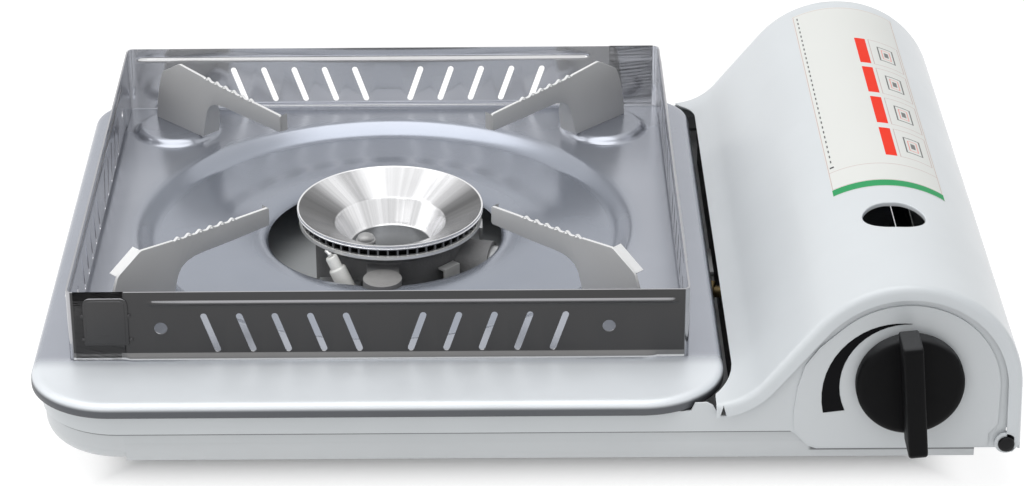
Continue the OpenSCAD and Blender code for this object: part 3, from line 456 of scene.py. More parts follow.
class EffectShop:
    """Builds each shared node group once."""

    def __init__(self) -> None:
        """Starts with no group built."""
        self.built: dict[Effect, bpy.types.NodeTree] = {}

    def group(self, effect: Effect) -> bpy.types.NodeTree:
        """Gives an effect's group, building it at its first use."""
        if effect not in self.built:
            maker = {Effect.MOTTLE: self.mottle, Effect.GRAIN: self.grain, Effect.PEEL: self.peel,
                     Effect.PRINT_BOX: self.print_box, Effect.PLACE: self.place}[effect]
            self.built[effect] = maker(effect.value)
        return self.built[effect]

    @staticmethod
    def start(name: str, inputs: Sequence[tuple[str, str, float]], outputs: Sequence[tuple[str, str]]
              ) -> tuple[bpy.types.NodeTree, NodeDesk, dict, bpy.types.Node]:
        """Makes an empty group with its sockets.

        Args:
            name: The group's name.
            inputs: Name, socket type and default of each input.
            outputs: Name and socket type of each output.

        Returns:
            The tree, its desk, the inputs by name, and the output node.
        """
        tree = bpy.data.node_groups.new(name, "ShaderNodeTree")
        for label, kind, default in inputs:
            socket = tree.interface.new_socket(name=label, in_out="INPUT", socket_type=kind)
            if kind == "NodeSocketFloat":
                socket.default_value = default
        for label, kind in outputs:
            tree.interface.new_socket(name=label, in_out="OUTPUT", socket_type=kind)
        desk = NodeDesk(tree)
        given = desk.add("NodeGroupInput")
        return tree, desk, {s.name: s for s in given.outputs}, desk.add("NodeGroupOutput")

    def place(self, name: str) -> bpy.types.NodeTree:
        """Place on the deck in millimetres: across, back and up from the dish's middle, and the distance from it."""
        tree, desk, given, out = self.start(name, [], [("Across", "NodeSocketFloat"), ("Back", "NodeSocketFloat"),
                                                       ("Up", "NodeSocketFloat"), ("Distance", "NodeSocketFloat")])
        coords = desk.add("ShaderNodeTexCoord").outputs["Object"]
        scaled = desk.mapping(coords, shift=tuple(-1000.0 * c for c in DECK_CENTRE), scale=(1000.0,) * 3)
        x, y, z = desk.split(scaled)
        distance = desk.math("SQRT", desk.math("ADD", desk.math("MULTIPLY", x, x), desk.math("MULTIPLY", y, y)))
        for socket, value in zip(out.inputs, (x, y, z, distance)):
            desk.feed(socket, value)
        return tree

    def mottle(self, name: str) -> bpy.types.NodeTree:
        """Soft cloudy mask with a trace of fine specks."""
        tree, desk, given, out = self.start(name, [("Scale", "NodeSocketFloat", 20.0)], [("Mask", "NodeSocketFloat")])
        coords = desk.add("ShaderNodeTexCoord").outputs["Object"]
        wide = desk.noise(coords, given["Scale"], 3.0, 0.55)
        fine = desk.noise(coords, desk.math("MULTIPLY", given["Scale"], 17.0), 2.0, 0.6)
        mixed = desk.math("ADD", desk.math("MULTIPLY", wide, 0.95), desk.math("MULTIPLY", fine, 0.05))
        desk.feed(out.inputs["Mask"], desk.span(mixed, 0.3, 0.7))
        return tree

    def grain(self, name: str) -> bpy.types.NodeTree:
        """Drawn lines of rolled or brushed sheet along X."""
        tree, desk, given, out = self.start(name, [("Fineness", "NodeSocketFloat", 1.0)], [("Lines", "NodeSocketFloat")])
        coords = desk.add("ShaderNodeTexCoord").outputs["Object"]
        long = desk.noise(desk.mapping(coords, scale=(6.0, 900.0, 900.0)), given["Fineness"], 3.0, 0.6)
        short = desk.noise(desk.mapping(coords, shift=(3.1, 1.7, 0.4), scale=(30.0, 2400.0, 2400.0)),
                           given["Fineness"], 2.0, 0.5)
        desk.feed(out.inputs["Lines"], desk.math("ADD", desk.math("MULTIPLY", long, 0.65),
                                                 desk.math("MULTIPLY", short, 0.35)))
        return tree

    def peel(self, name: str) -> bpy.types.NodeTree:
        """Fine waviness of sprayed and baked paint, as a height."""
        tree, desk, given, out = self.start(name, [("Fineness", "NodeSocketFloat", 1.0)], [("Height", "NodeSocketFloat")])
        coords = desk.add("ShaderNodeTexCoord").outputs["Object"]
        soft = desk.noise(coords, desk.math("MULTIPLY", given["Fineness"], 420.0), 2.0, 0.45)
        fine = desk.noise(coords, desk.math("MULTIPLY", given["Fineness"], 1900.0), 1.0, 0.5)
        desk.feed(out.inputs["Height"], desk.math("ADD", desk.math("MULTIPLY", soft, 0.75),
                                                  desk.math("MULTIPLY", fine, 0.25)))
        return tree

    def print_box(self, name: str) -> bpy.types.NodeTree:
        """Mask of a printed box about a centre, and of its thin outline."""
        floats = [(label, "NodeSocketFloat", default) for label, default in
                  (("U", 0.0), ("V", 0.0), ("Centre U", 0.0), ("Centre V", 0.0), ("Half U", 1.0), ("Half V", 1.0),
                   ("Line", 0.15), ("Blur", 0.05))]
        tree, desk, given, out = self.start(name, floats, [("Fill", "NodeSocketFloat"), ("Outline", "NodeSocketFloat")])
        across = desk.math("SUBTRACT", desk.math("ABSOLUTE", desk.math("SUBTRACT", given["U"], given["Centre U"])),
                           given["Half U"])
        along = desk.math("SUBTRACT", desk.math("ABSOLUTE", desk.math("SUBTRACT", given["V"], given["Centre V"])),
                          given["Half V"])
        outside = desk.math("MAXIMUM", across, along)
        fill = desk.math("SUBTRACT", 0.5, desk.math("DIVIDE", outside, given["Blur"]), clamp=True)
        off_line = desk.math("SUBTRACT", desk.math("ABSOLUTE", outside), desk.math("MULTIPLY", given["Line"], 0.5))
        outline = desk.math("SUBTRACT", 0.5, desk.math("DIVIDE", off_line, given["Blur"]), clamp=True)
        desk.feed(out.inputs["Fill"], fill)
        desk.feed(out.inputs["Outline"], outline)
        return tree


# ------------------------------------------------------------------ finishes


@dataclass(frozen=True)
class Finish:
    """A plain finish: one colour with soft mottle, and grain or waviness in its relief."""

    name: str
    colour: Colour
    metallic: float = 0.0
    roughness: float = 0.4
    specular: float = 0.5
    coat: float = 0.0
    mottle: float = 0.08
    mottle_scale: float = 22.0
    relief: Optional[Effect] = None
    relief_strength: float = 0.1
    relief_size: float = 0.0002
    fineness: float = 1.0

    def start(self) -> tuple[bpy.types.Material, NodeDesk, bpy.types.Node]:
        """Makes the material with its shader and output."""
        material = bpy.data.materials.new(self.name)
        material.use_nodes = True
        desk = NodeDesk(material.node_tree)
        shader = desk.add("ShaderNodeBsdfPrincipled")
        out = desk.add("ShaderNodeOutputMaterial")
        desk.feed(out.inputs["Surface"], shader.outputs["BSDF"])
        shader.inputs["Metallic"].default_value = self.metallic
        shader.inputs["Specular IOR Level"].default_value = self.specular
        shader.inputs["Coat Weight"].default_value = self.coat
        shader.inputs["Coat Roughness"].default_value = 0.12
        return material, desk, shader

    @staticmethod
    def use(desk: NodeDesk, shop: EffectShop, effect: Effect, **values: Value) -> bpy.types.Node:
        """Places a shared group and feeds its inputs."""
        node = desk.add("ShaderNodeGroup", node_tree=shop.group(effect))
        for label, value in values.items():
            desk.feed(node.inputs[label.replace("_", " ")], value)
        return node

    def tinted(self, desk: NodeDesk, shop: EffectShop, colour: Value) -> bpy.types.NodeSocket:
        """Darkens a colour a little where the mottle is low."""
        mask = self.use(desk, shop, Effect.MOTTLE, Scale=self.mottle_scale).outputs["Mask"]
        shade = desk.math("MULTIPLY_ADD", mask, self.mottle, 1.0 - self.mottle)
        node = desk.add("ShaderNodeVectorMath", operation="SCALE")
        desk.feed(node.inputs[0], colour)
        desk.feed(node.inputs["Scale"], shade)
        return node.outputs[0]

    def finish_off(self, desk: NodeDesk, shop: EffectShop, shader: bpy.types.Node, colour: Value,
                   roughness: Optional[Value] = None) -> None:
        """Feeds the colour, the roughness with its variation, and the relief."""
        desk.feed(shader.inputs["Base Color"], self.tinted(desk, shop, colour))
        mask = self.use(desk, shop, Effect.MOTTLE, Scale=self.mottle_scale * 2.3).outputs["Mask"]
        base = self.roughness if roughness is None else roughness
        desk.feed(shader.inputs["Roughness"], desk.math("MULTIPLY", base, desk.span(mask, 0, 1, 0.94, 1.06), clamp=True))
        if self.relief is not None:
            node = self.use(desk, shop, self.relief, Fineness=self.fineness)
            desk.feed(shader.inputs["Normal"], desk.bump(node.outputs[0], self.relief_strength, self.relief_size))

    def build(self, shop: EffectShop) -> bpy.types.Material:
        """Makes the material."""
        material, desk, shader = self.start()
        self.finish_off(desk, shop, shader, (*self.colour, 1.0))
        return material


@dataclass(frozen=True)
class PlateFinish(Finish):
    """Plated top sheet, one metal painted in lit and shaded tones: pale and soft on the front strip; greyer and bluer
    in the dish and on the flat round it, a painted reflection of darker surroundings; dark on the rim's downward faces,
    a painted shade.
    """

    # Tones of the dish and of the flat round it are a painted reflection; the rim's tone below is a painted shade.
    dish: Colour = (0.33, 0.355, 0.41)
    sides_reflection_tone: Colour = (0.40, 0.42, 0.47)
    hanging_rim_shade: Colour = (0.10, 0.105, 0.115)

    def build(self, shop: EffectShop) -> bpy.types.Material:
        """Makes the material."""
        material, desk, shader = self.start()
        place = self.use(desk, shop, Effect.PLACE)
        front = desk.span(place.outputs["Back"], -105.0, -116.0)
        inner = desk.span(place.outputs["Distance"], 101.0, 88.0)
        grey = desk.mix(inner, (*self.sides_reflection_tone, 1.0), (*self.dish, 1.0))
        flat = desk.mix(front, grey, (*self.colour, 1.0))
        upward = desk.split(desk.add("ShaderNodeNewGeometry").outputs["Normal"])[2]
        # Painted shade: faces of the rim that look downwards go dark.
        rim_shade_mask = desk.math("MULTIPLY", desk.span(upward, 0.62, 0.12), desk.span(place.outputs["Distance"], 112.0, 114.0))
        colour = desk.mix(rim_shade_mask, flat, (*self.hanging_rim_shade, 1.0))
        self.finish_off(desk, shop, shader, colour, desk.span(front, 0.0, 1.0, self.roughness, 0.46))
        desk.feed(shader.inputs["Metallic"], desk.span(front, 0.0, 1.0, self.metallic, 0.25))
        return material


@dataclass(frozen=True)
class GuardFinish(Finish):
    """Polished guard sheet in painted reflections: upright outer faces at the front are painted dark, a painted dark
    reflection; the front foot's hem is painted mid grey with a thin painted highlight at its lower edge; the rear panel
    is painted pale, a painted sheen; rolled edges and other faces keep the bright sheet.
    """

    # Colours of the painted dark reflection, of the hem's painted reflection and of the rear panel's painted sheen.
    painted_dark_reflection: Colour = (0.05, 0.049, 0.050)
    hem: Colour = (0.20, 0.198, 0.197)
    pale: Colour = (0.80, 0.80, 0.81)

    def build(self, shop: EffectShop) -> bpy.types.Material:
        """Makes the material."""
        material, desk, shader = self.start()
        place = self.use(desk, shop, Effect.PLACE)
        front = desk.span(place.outputs["Back"], -108.6, -108.8)
        upward = desk.split(desk.add("ShaderNodeNewGeometry").outputs["Normal"])[2]
        # Painted reflection on the front foot's hem, and a thin painted highlight line at its lower edge.
        foot = desk.math("MULTIPLY", front, desk.span(place.outputs["Up"], 3.0, 2.7))
        line = desk.math("MULTIPLY", foot, desk.span(place.outputs["Up"], 1.15, 0.95))
        # Painted dark reflection on the front's upright outer faces.
        dark_reflection_mask = desk.math("MULTIPLY", front, desk.span(upward, 0.66, 0.4))
        mask = desk.math("MAXIMUM", dark_reflection_mask, foot)
        # Painted sheen: the rear panel goes pale.
        rear = desk.span(place.outputs["Back"], 104.0, 106.0)
        sheet = desk.mix(rear, (*self.colour, 1.0), (*self.pale, 1.0))
        tone = desk.mix(dark_reflection_mask, sheet, (*self.painted_dark_reflection, 1.0))
        tone = desk.mix(line, desk.mix(foot, tone, (*self.hem, 1.0)), (0.85, 0.85, 0.85, 1.0))
        self.finish_off(desk, shop, shader, tone, desk.span(mask, 0.0, 1.0, self.roughness, 0.38))
        plain = desk.math("MAXIMUM", mask, desk.math("MULTIPLY", rear, 0.35))
        desk.feed(shader.inputs["Metallic"], desk.span(plain, 0.0, 1.0, self.metallic, 0.3))
        return material


@dataclass(frozen=True)
class TopLitFinish(Finish):
    """A finish whose upward edges and faces are painted paler, a painted highlight of the light from above."""

    top: Colour = (0.8, 0.8, 0.8)
    highlight_rise: Point2 = (0.35, 0.8)

    def build(self, shop: EffectShop) -> bpy.types.Material:
        """Makes the material."""
        material, desk, shader = self.start()
        upward = desk.split(desk.add("ShaderNodeNewGeometry").outputs["Normal"])[2]
        # Painted highlight: faces that look upwards go paler.
        mask = desk.span(upward, *self.highlight_rise)
        self.finish_off(desk, shop, shader, desk.mix(mask, (*self.colour, 1.0), (*self.top, 1.0)))
        return material


@dataclass(frozen=True)
class CastFinish(Finish):
    """Rough dark casting with one boss whose upward-facing top is painted paler, a painted highlight."""

    top: Colour = (0.34, 0.335, 0.33)
    boss: Point2 = (0.2, -40.0)
    boss_radius: float = 7.6

    def build(self, shop: EffectShop) -> bpy.types.Material:
        """Makes the material."""
        material, desk, shader = self.start()
        upward = desk.split(desk.add("ShaderNodeNewGeometry").outputs["Normal"])[2]
        place = self.use(desk, shop, Effect.PLACE)
        x = desk.math("SUBTRACT", place.outputs["Across"], self.boss[0])
        y = desk.math("SUBTRACT", place.outputs["Back"], self.boss[1])
        reach = desk.math("SQRT", desk.math("ADD", desk.math("MULTIPLY", x, x), desk.math("MULTIPLY", y, y)))
        # Painted highlight: upward faces within the boss's radius go paler.
        mask = desk.math("MULTIPLY", desk.span(upward, 0.2, 0.9),
                         desk.span(reach, self.boss_radius, self.boss_radius - 0.5))
        self.finish_off(desk, shop, shader, desk.mix(mask, (*self.colour, 1.0), (*self.top, 1.0)))
        return material


@dataclass(frozen=True)
class SeamShadeFinish(Finish):
    """A finish with a thin dark line at one height, a painted shadow, such as where the pan runs up behind the frame; a
    second painted shadow line lower down, from a given place rightwards; and painted shade, a near black, on upward and
    left-facing faces further right, such as inside the cartridge bay.
    """

    # Heights and colour of the painted shadow lines, and colour and start of the painted shade inside the bay.
    seam_shade: Point2 = (-14.25, -13.3)
    line: Colour = (0.16, 0.165, 0.17)
    low_seam_shade: Point2 = (-21.5, -19.6)
    low_from: float = 150.5
    bay_shade: Colour = (0.055, 0.057, 0.06)
    bay_shade_from: float = 160.0

    def build(self, shop: EffectShop) -> bpy.types.Material:
        """Makes the material."""
        material, desk, shader = self.start()
        place = self.use(desk, shop, Effect.PLACE).outputs
        up = place["Up"]
        # Painted shadow: thin dark lines at the two heights.
        mask = desk.math("MULTIPLY", desk.span(up, self.seam_shade[0] - 0.2, self.seam_shade[0] + 0.25),
                         desk.span(up, self.seam_shade[1] + 0.3, self.seam_shade[1]))
        low = desk.math("MULTIPLY", desk.span(up, self.low_seam_shade[0] - 0.2, self.low_seam_shade[0] + 0.3),
                        desk.span(up, self.low_seam_shade[1] + 0.3, self.low_seam_shade[1]))
        low = desk.math("MULTIPLY", low, desk.span(place["Across"], self.low_from - 1.5, self.low_from))
        mask = desk.math("MAXIMUM", mask, low)
        facing = desk.split(desk.add("ShaderNodeNewGeometry").outputs["Normal"])
        # Painted shade: upward and left-facing faces inside the cartridge bay go near black.
        inner = desk.math("MAXIMUM", desk.span(facing[2], 0.1, 0.3), desk.span(facing[0], -0.4, -0.6))
        inside = desk.math("MULTIPLY", inner, desk.span(place["Across"], self.bay_shade_from - 4.0, self.bay_shade_from))
        coat = desk.mix(inside, (*self.colour, 1.0), (*self.bay_shade, 1.0))
        self.finish_off(desk, shop, shader, desk.mix(mask, coat, (*self.line, 1.0)))
        return material


@dataclass(frozen=True)
class SpunFinish(Finish):
    """Turned aluminium: fine rings, soft bright and dark bands round the axis that are a painted reflection, a painted
    shade on the bowl's floor and a painted highlight on the rolled rim.
    """

    centre: Point2 = (2.2, 0.0)
    rim: float = 34.8
    # Greys of the painted reflection round the axis, by angle in degrees.
    cone_reflection_greys: tuple[Point2, ...] = (
        (0, 0.16), (15, 0.12), (24, 0.22), (30, 0.43), (45, 0.75), (60, 0.66), (70, 0.38), (90, 0.36), (105, 0.50),
        (120, 0.42), (135, 0.86), (144, 0.60), (150, 0.30), (165, 0.13), (180, 0.15), (225, 0.30), (270, 0.22), (315, 0.30))
    throat_reflection_greys: tuple[Point2, ...] = (
        (0, 0.60), (30, 0.74), (50, 0.84), (72, 0.66), (90, 0.70), (105, 0.86), (120, 0.70), (135, 0.95), (150, 0.74),
        (180, 0.58), (270, 0.40))

    @staticmethod
    def reflection_sectors(desk: NodeDesk, turn: Value, greys: Sequence[Point2]) -> bpy.types.NodeSocket:
        """Painted reflection greys that change with the angle round the axis, with fine streaks between them."""
        stops = sorted(((degrees / 360.0 + 0.5) % 1.0, v) for degrees, v in greys)
        first, last = stops[0], stops[-1]
        share = (1.0 - last[0]) / (1.0 - last[0] + first[0]) if first[0] else 0.0
        wrap = last[1] + (first[1] - last[1]) * share
        stops = [(0.0, wrap), *[stop for stop in stops if stop[0] > 0.0], (1.0, wrap)]
        colour = desk.ramp(turn, [(place, (v, v, v * 1.015)) for place, v in stops])
        spoke = desk.add("ShaderNodeCombineXYZ")
        desk.feed(spoke.inputs[0], desk.math("MULTIPLY", turn, 55.0))
        streaks = desk.span(desk.noise(spoke.outputs[0], 1.0, 3.0, 0.6), 0.3, 0.7, 0.84, 1.1)
        node = desk.add("ShaderNodeVectorMath", operation="SCALE")
        desk.feed(node.inputs[0], colour)
        desk.feed(node.inputs["Scale"], streaks)
        return node.outputs[0]

    def build(self, shop: EffectShop) -> bpy.types.Material:
        """Makes the material."""
        material, desk, shader = self.start()
        place = self.use(desk, shop, Effect.PLACE)
        x = desk.math("SUBTRACT", place.outputs["Across"], self.centre[0])
        y = place.outputs["Back"]
        turn = desk.math("MULTIPLY_ADD", desk.math("ARCTAN2", y, x), 1.0 / math.tau, 0.5)
        radius = desk.math("SQRT", desk.math("ADD", desk.math("MULTIPLY", x, x), desk.math("MULTIPLY", y, y)))
        outer = self.reflection_sectors(desk, turn, self.cone_reflection_greys)
        inner = self.reflection_sectors(desk, turn, self.throat_reflection_greys)
        throat = desk.mix(desk.span(radius, 21.4, 20.8), outer, inner)
        # Painted shade: the bowl's floor goes dark.
        floor = desk.mix(desk.span(radius, 15.6, 14.9), throat, (0.095, 0.10, 0.105, 1.0))
        rings = desk.noise(desk.ring_place(radius), 1.0, 2.0, 0.6)
        # Painted highlight: a thin bright line on the rolled rim.
        edged = desk.mix(desk.span(radius, self.rim - 0.3, self.rim), floor, (0.88, 0.88, 0.89, 1.0))
        self.finish_off(desk, shop, shader, edged)
        desk.feed(shader.inputs["Normal"], desk.bump(rings, 0.06, 0.0001))
        return material


@dataclass(frozen=True)
class FilmFinish(Finish):
    """Printed film on the cover: pale ground, a dashed line, four solid blocks with empty frames, and a foot band."""

    red: Colour = (0.88, 0.042, 0.018)
    green: Colour = (0.04, 0.34, 0.125)
    ink: Colour = (0.03, 0.03, 0.035)
    hairline: Colour = (0.42, 0.17, 0.15)
    block_rows: tuple[Point2, ...] = ((52.0, 76.5), (23.5, 48.0), (-5.0, 19.3), (-33.8, -9.4))
    block_span: Point2 = (22.4, 26.7)
    frame_span: Point2 = (28.0, 40.6)

    def build(self, shop: EffectShop) -> bpy.types.Material:
        """Makes the material."""
        material, desk, shader = self.start()
        uv = desk.add("ShaderNodeUVMap", uv_map="film").outputs[0]
        u, v, _ = desk.split(desk.mapping(uv, scale=(100.0, 200.0, 1.0)))

        def box(span: Point2, row: Point2, line: float = 0.18) -> bpy.types.Node:
            return self.use(desk, shop, Effect.PRINT_BOX, U=u, V=v, Centre_U=sum(span) / 2, Centre_V=sum(row) / 2,
                            Half_U=(span[1] - span[0]) / 2, Half_V=(row[1] - row[0]) / 2, Line=line, Blur=0.12)

        def over(mask: Value, strength: float, ink: Colour) -> None:
            nonlocal colour
            colour = desk.mix(desk.math("MULTIPLY", mask, strength), colour, (*ink, 1.0))

        colour: Value = (*self.colour, 1.0)
        for row in self.block_rows:
            lifted = (row[0] + 58.0, row[1] + 58.0)
            middle = sum(lifted) / 2
            over(box(self.block_span, lifted).outputs["Fill"], 1.0, self.red)
            over(box(self.frame_span, lifted, 0.3).outputs["Outline"], 0.55, self.hairline)
            over(box((31.2, 37.4), (middle - 6.5, middle + 6.5), 0.55).outputs["Outline"], 0.85, self.ink)
            over(box((32.6, 36.0), (middle - 4.2, middle + 4.2), 0.35).outputs["Outline"], 0.7, self.red)
            over(box((33.4, 35.2), (middle - 2.2, middle + 2.2)).outputs["Fill"], 0.75, self.ink)
        dashes = desk.math("GREATER_THAN", desk.math("FRACT", desk.math("DIVIDE", v, 4.4)), 0.52)
        over(desk.math("MULTIPLY", box((1.7, 2.2), (22.0, 163.0)).outputs["Fill"], dashes), 0.9, self.ink)
        over(box((1.1, 2.7), (19.8, 21.0)).outputs["Fill"], 1.0, self.ink)
        over(box((0.4, 41.6), (3.0, 165.3), 0.3).outputs["Outline"], 0.5, self.hairline)
        over(box((0.4, 41.6), (16.6, 16.7), 0.3).outputs["Outline"], 0.4, self.hairline)
        over(box((0.1, 42.0), (-2.2, 2.6)).outputs["Fill"], 1.0, self.green)
        self.finish_off(desk, shop, shader, colour)
        return material


class FinishShop:
    """Builds each finish once and hands it out by name."""

    def __init__(self) -> None:
        """Lists the finishes of the stove."""
        self.effects = EffectShop()
        self.made: dict[str, bpy.types.Material] = {}
        finishes: list[Finish] = [
            Finish("baked_white_paint", (0.655, 0.68, 0.695), roughness=0.34, coat=0.25, mottle=0.03,
                   relief=Effect.PEEL, relief_strength=0.05),
            # The pan's paint carries painted shadow lines under the frame and the panel, and painted shade inside the
            # cartridge bay.
            SeamShadeFinish("pan_white_paint", (0.61, 0.63, 0.642), roughness=0.36, coat=0.25, mottle=0.03,
                       relief=Effect.PEEL, relief_strength=0.05),
            Finish("cover_white_paint", (0.69, 0.72, 0.74), roughness=0.33, coat=0.25, mottle=0.03,
                   relief=Effect.PEEL, relief_strength=0.05),
            PlateFinish("plated_top_sheet", (0.77, 0.80, 0.83), metallic=0.68, roughness=0.23, mottle=0.05,
                        relief=Effect.GRAIN, relief_strength=0.012),
            GuardFinish("polished_guard_sheet", (0.46, 0.46, 0.48), metallic=0.95, roughness=0.13, mottle=0.06,
                        relief=Effect.GRAIN, relief_strength=0.02),
            # Supports: tops and teeth painted pale, a painted highlight.
            TopLitFinish("stamped_support_sheet", (0.50, 0.50, 0.50), metallic=0.1, roughness=0.5, mottle=0.04,
                         relief=Effect.GRAIN, relief_strength=0.03, top=(0.82, 0.82, 0.82), highlight_rise=(0.2, 0.6)),
            SpunFinish("spun_aluminium", (0.8, 0.8, 0.8), metallic=0.85, roughness=0.24, mottle=0.03),
            # Flame ring: the dark band between heights 2.5 and 4.9 is painted shade on the ring's pillars under the
            # cap.
            SeamShadeFinish("bright_ring_steel", (0.82, 0.82, 0.81), metallic=0.45, roughness=0.3, mottle=0.08,
                       seam_shade=(2.5, 4.9), line=(0.20, 0.20, 0.20)),
            Finish("dull_screw_steel", (0.42, 0.42, 0.42), metallic=0.55, roughness=0.5, mottle=0.3, mottle_scale=220.0),
            CastFinish("cast_burner_iron", (0.21, 0.21, 0.213), metallic=0.2, roughness=0.6, mottle=0.25,
                       mottle_scale=60.0, relief=Effect.PEEL, relief_strength=0.4, relief_size=0.0006, fineness=2.2),
            Finish("glazed_ceramic", (0.86, 0.86, 0.83), roughness=0.28, coat=0.4, mottle=0.06, mottle_scale=90.0),
            Finish("zinc_plated_steel", (0.52, 0.53, 0.54), metallic=0.85, roughness=0.36, mottle=0.12,
                   relief=Effect.GRAIN, relief_strength=0.05),
            Finish("yellow_passivated_zinc", (0.62, 0.50, 0.22), metallic=0.85, roughness=0.34, mottle=0.2,
                   mottle_scale=70.0),
            # Dull brass, darkened further as a painted shade of the closed body it sits in.
            Finish("turned_brass", (0.20, 0.15, 0.07), metallic=0.8, roughness=0.5, mottle=0.12, mottle_scale=60.0),
            # Near black sheet for the bay's partition, a painted shade: the gap beside the cover lies in shadow.
            Finish("shadow_black_sheet", (0.020, 0.020, 0.022), roughness=0.6, specular=0.2, mottle=0.2, mottle_scale=40.0),
            Finish("die_cast_alloy", (0.45, 0.45, 0.44), metallic=0.7, roughness=0.5, mottle=0.12, mottle_scale=50.0,
                   relief=Effect.PEEL, relief_strength=0.2, relief_size=0.0004, fineness=1.5),
            # Knob: upward faces painted a little paler, a painted highlight.
            TopLitFinish("knob_black_plastic", (0.0025, 0.0025, 0.003), roughness=0.5, specular=0.1, mottle=0.1,
                         top=(0.05, 0.051, 0.053), highlight_rise=(0.45, 0.95), mottle_scale=120.0, relief=Effect.PEEL,
                         relief_strength=0.08, fineness=2.6),
            Finish("igniter_black_plastic", (0.02, 0.02, 0.022), roughness=0.5, mottle=0.1, mottle_scale=80.0),
            Finish("natural_plastic", (0.72, 0.69, 0.58), roughness=0.4, mottle=0.06),
            Finish("red_silicone", (0.45, 0.03, 0.02), roughness=0.55, mottle=0.12, mottle_scale=90.0),
            Finish("moulded_rubber", (0.016, 0.016, 0.017), roughness=0.78, specular=0.3, mottle=0.2,
                   mottle_scale=90.0, relief=Effect.PEEL, relief_strength=0.2, fineness=2.0),
            Finish("magnet_black", (0.03, 0.03, 0.033), roughness=0.5, metallic=0.3, mottle=0.15, mottle_scale=90.0),
            Finish("screen_printed_black", (0.004, 0.004, 0.005), roughness=0.6, specular=0.08, mottle=0.1),
            Finish("black_screw_enamel", (0.004, 0.004, 0.005), roughness=0.42, specular=0.22, mottle=0.1,
                   mottle_scale=150.0),
            FilmFinish("printed_film", (0.775, 0.78, 0.75), roughness=0.5, specular=0.08, mottle=0.01),
        ]
        self.finishes = {f.name: f for f in finishes}

    def material(self, name: str) -> bpy.types.Material:
        """Gives a finish's material, building it at its first use."""
        if name not in self.made:
            self.made[name] = self.finishes[name].build(self.effects)
        return self.made[name]


# ------------------------------------------------------------------ top plate


@dataclass
class TopPlate(Assembly):
    """Plated sheet with a rolled rim, a pressed dish with the burner's hole, and a pad in each corner."""

    low: Point2 = (-120.5, -142.0)
    high: Point2 = (121.5, 117.0)
    radii: tuple[float, ...] = (30.0, 30.0, 20.0, 20.0)
    rim: float = 5.0
    roll: float = 3.0
    sheet: float = 0.8
    pad_place: float = 86.3
    pad_radius: float = 18.6
    pad_height: float = 2.5
    notch_centre: Point2 = (0.2, -40.5)
    notch_radius: float = 8.0
    hole: float = 44.5

    def rim_skin(self, bm: BMesh) -> None:
        """Rim, roll and the first strip of the flat."""
        section = [(0.35, -self.rim), (0.0, -self.rim + 0.35), (0.0, -self.roll)]
        section += [(self.roll - self.roll * math.cos(math.radians(a)), -self.roll + self.roll * math.sin(math.radians(a)))
                    for a in range(10, 91, 10)]
        section.append((self.roll + 1.5, 0.0))
        loft(bm, [[(x, y, z) for x, y in round_rectangle(self.low, self.high, self.radii, d, 18)]
                  for d, z in section], closed=True)

    def dish_section(self) -> list[Point2]:
        """Section of the dish from its outer shoulder to the hole."""
        shoulder = [(96.6, 0.0), (95.2, -0.04), (93.9, -0.35), (92.4, -1.2), (90.6, -2.35), (89.0, -3.25),
                    (87.6, -3.8), (86.2, -3.98), (84.5, -3.95)]
        floor = [(78.0, -3.9), (72.0, -3.85), (67.5, -3.7), (63.5, -3.3), (60.0, -2.9), (56.0, -2.72), (52.0, -2.75),
                 (49.0, -2.95), (47.2, -3.3), (46.0, -3.9), (45.2, -4.6), (self.hole, -5.5)]
        return smooth_line(shoulder + floor, 4)

    def notch(self, verts: Iterable[BMVert]) -> None:
        """Pushes the hole's edge outwards where it clears the burner's lug."""
        for v in verts:
            r = math.hypot(v.co.x, v.co.y)
            if r > 58.0 or v.co.y > 0:
                continue
            ux, uy = v.co.x / r, v.co.y / r
            along = ux * self.notch_centre[0] + uy * self.notch_centre[1]
            off = self.notch_radius ** 2 - (self.notch_centre[0] ** 2 + self.notch_centre[1] ** 2 - along ** 2)
            if off <= 0:
                continue
            edge = along + math.sqrt(off)
            if edge > self.hole:
                grown = r + (edge - self.hole) * (1.0 - blend((r - self.hole) / 12.0))
                v.co.x, v.co.y = ux * grown, uy * grown

    def build(self) -> None:
        """Makes the plate."""
        bm = bmesh.new()
        self.rim_skin(bm)
        self.notch(turned(bm, self.dish_section(), 288))
        p, h = self.pad_radius, self.pad_height
        pad = smooth_line([(p, 0.0), (p - 0.9, 0.08), (p - 1.9, 0.6), (p - 3.0, 1.75), (p - 4.2, h - 0.12),
                           (p - 5.6, h), (8.0, h), (0.0, h)], 3)
        for sx in (-1, 1):
            for sy in (-1, 1):
                turned(bm, pad, 72, (sx * self.pad_place, sy * self.pad_place, 0.0))
        bmesh.ops.remove_doubles(bm, verts=bm.verts, dist=0.003)
        rim_edges = [e for e in bm.edges if e.is_boundary and all(abs(v.co.z) < 1e-4 for v in e.verts)]
        bmesh.ops.triangle_fill(bm, edges=rim_edges, use_beauty=True)
        self.piece("plate_skin", bm, "top_plate", "plate_steel", "plated_top_sheet", ("top_plate",), crease=50.0,
                   sheet=self.sheet, face_up=lambda f: f.normal.z * f.calc_area(), recalculate=False)


# ------------------------------------------------------------------ pot supports


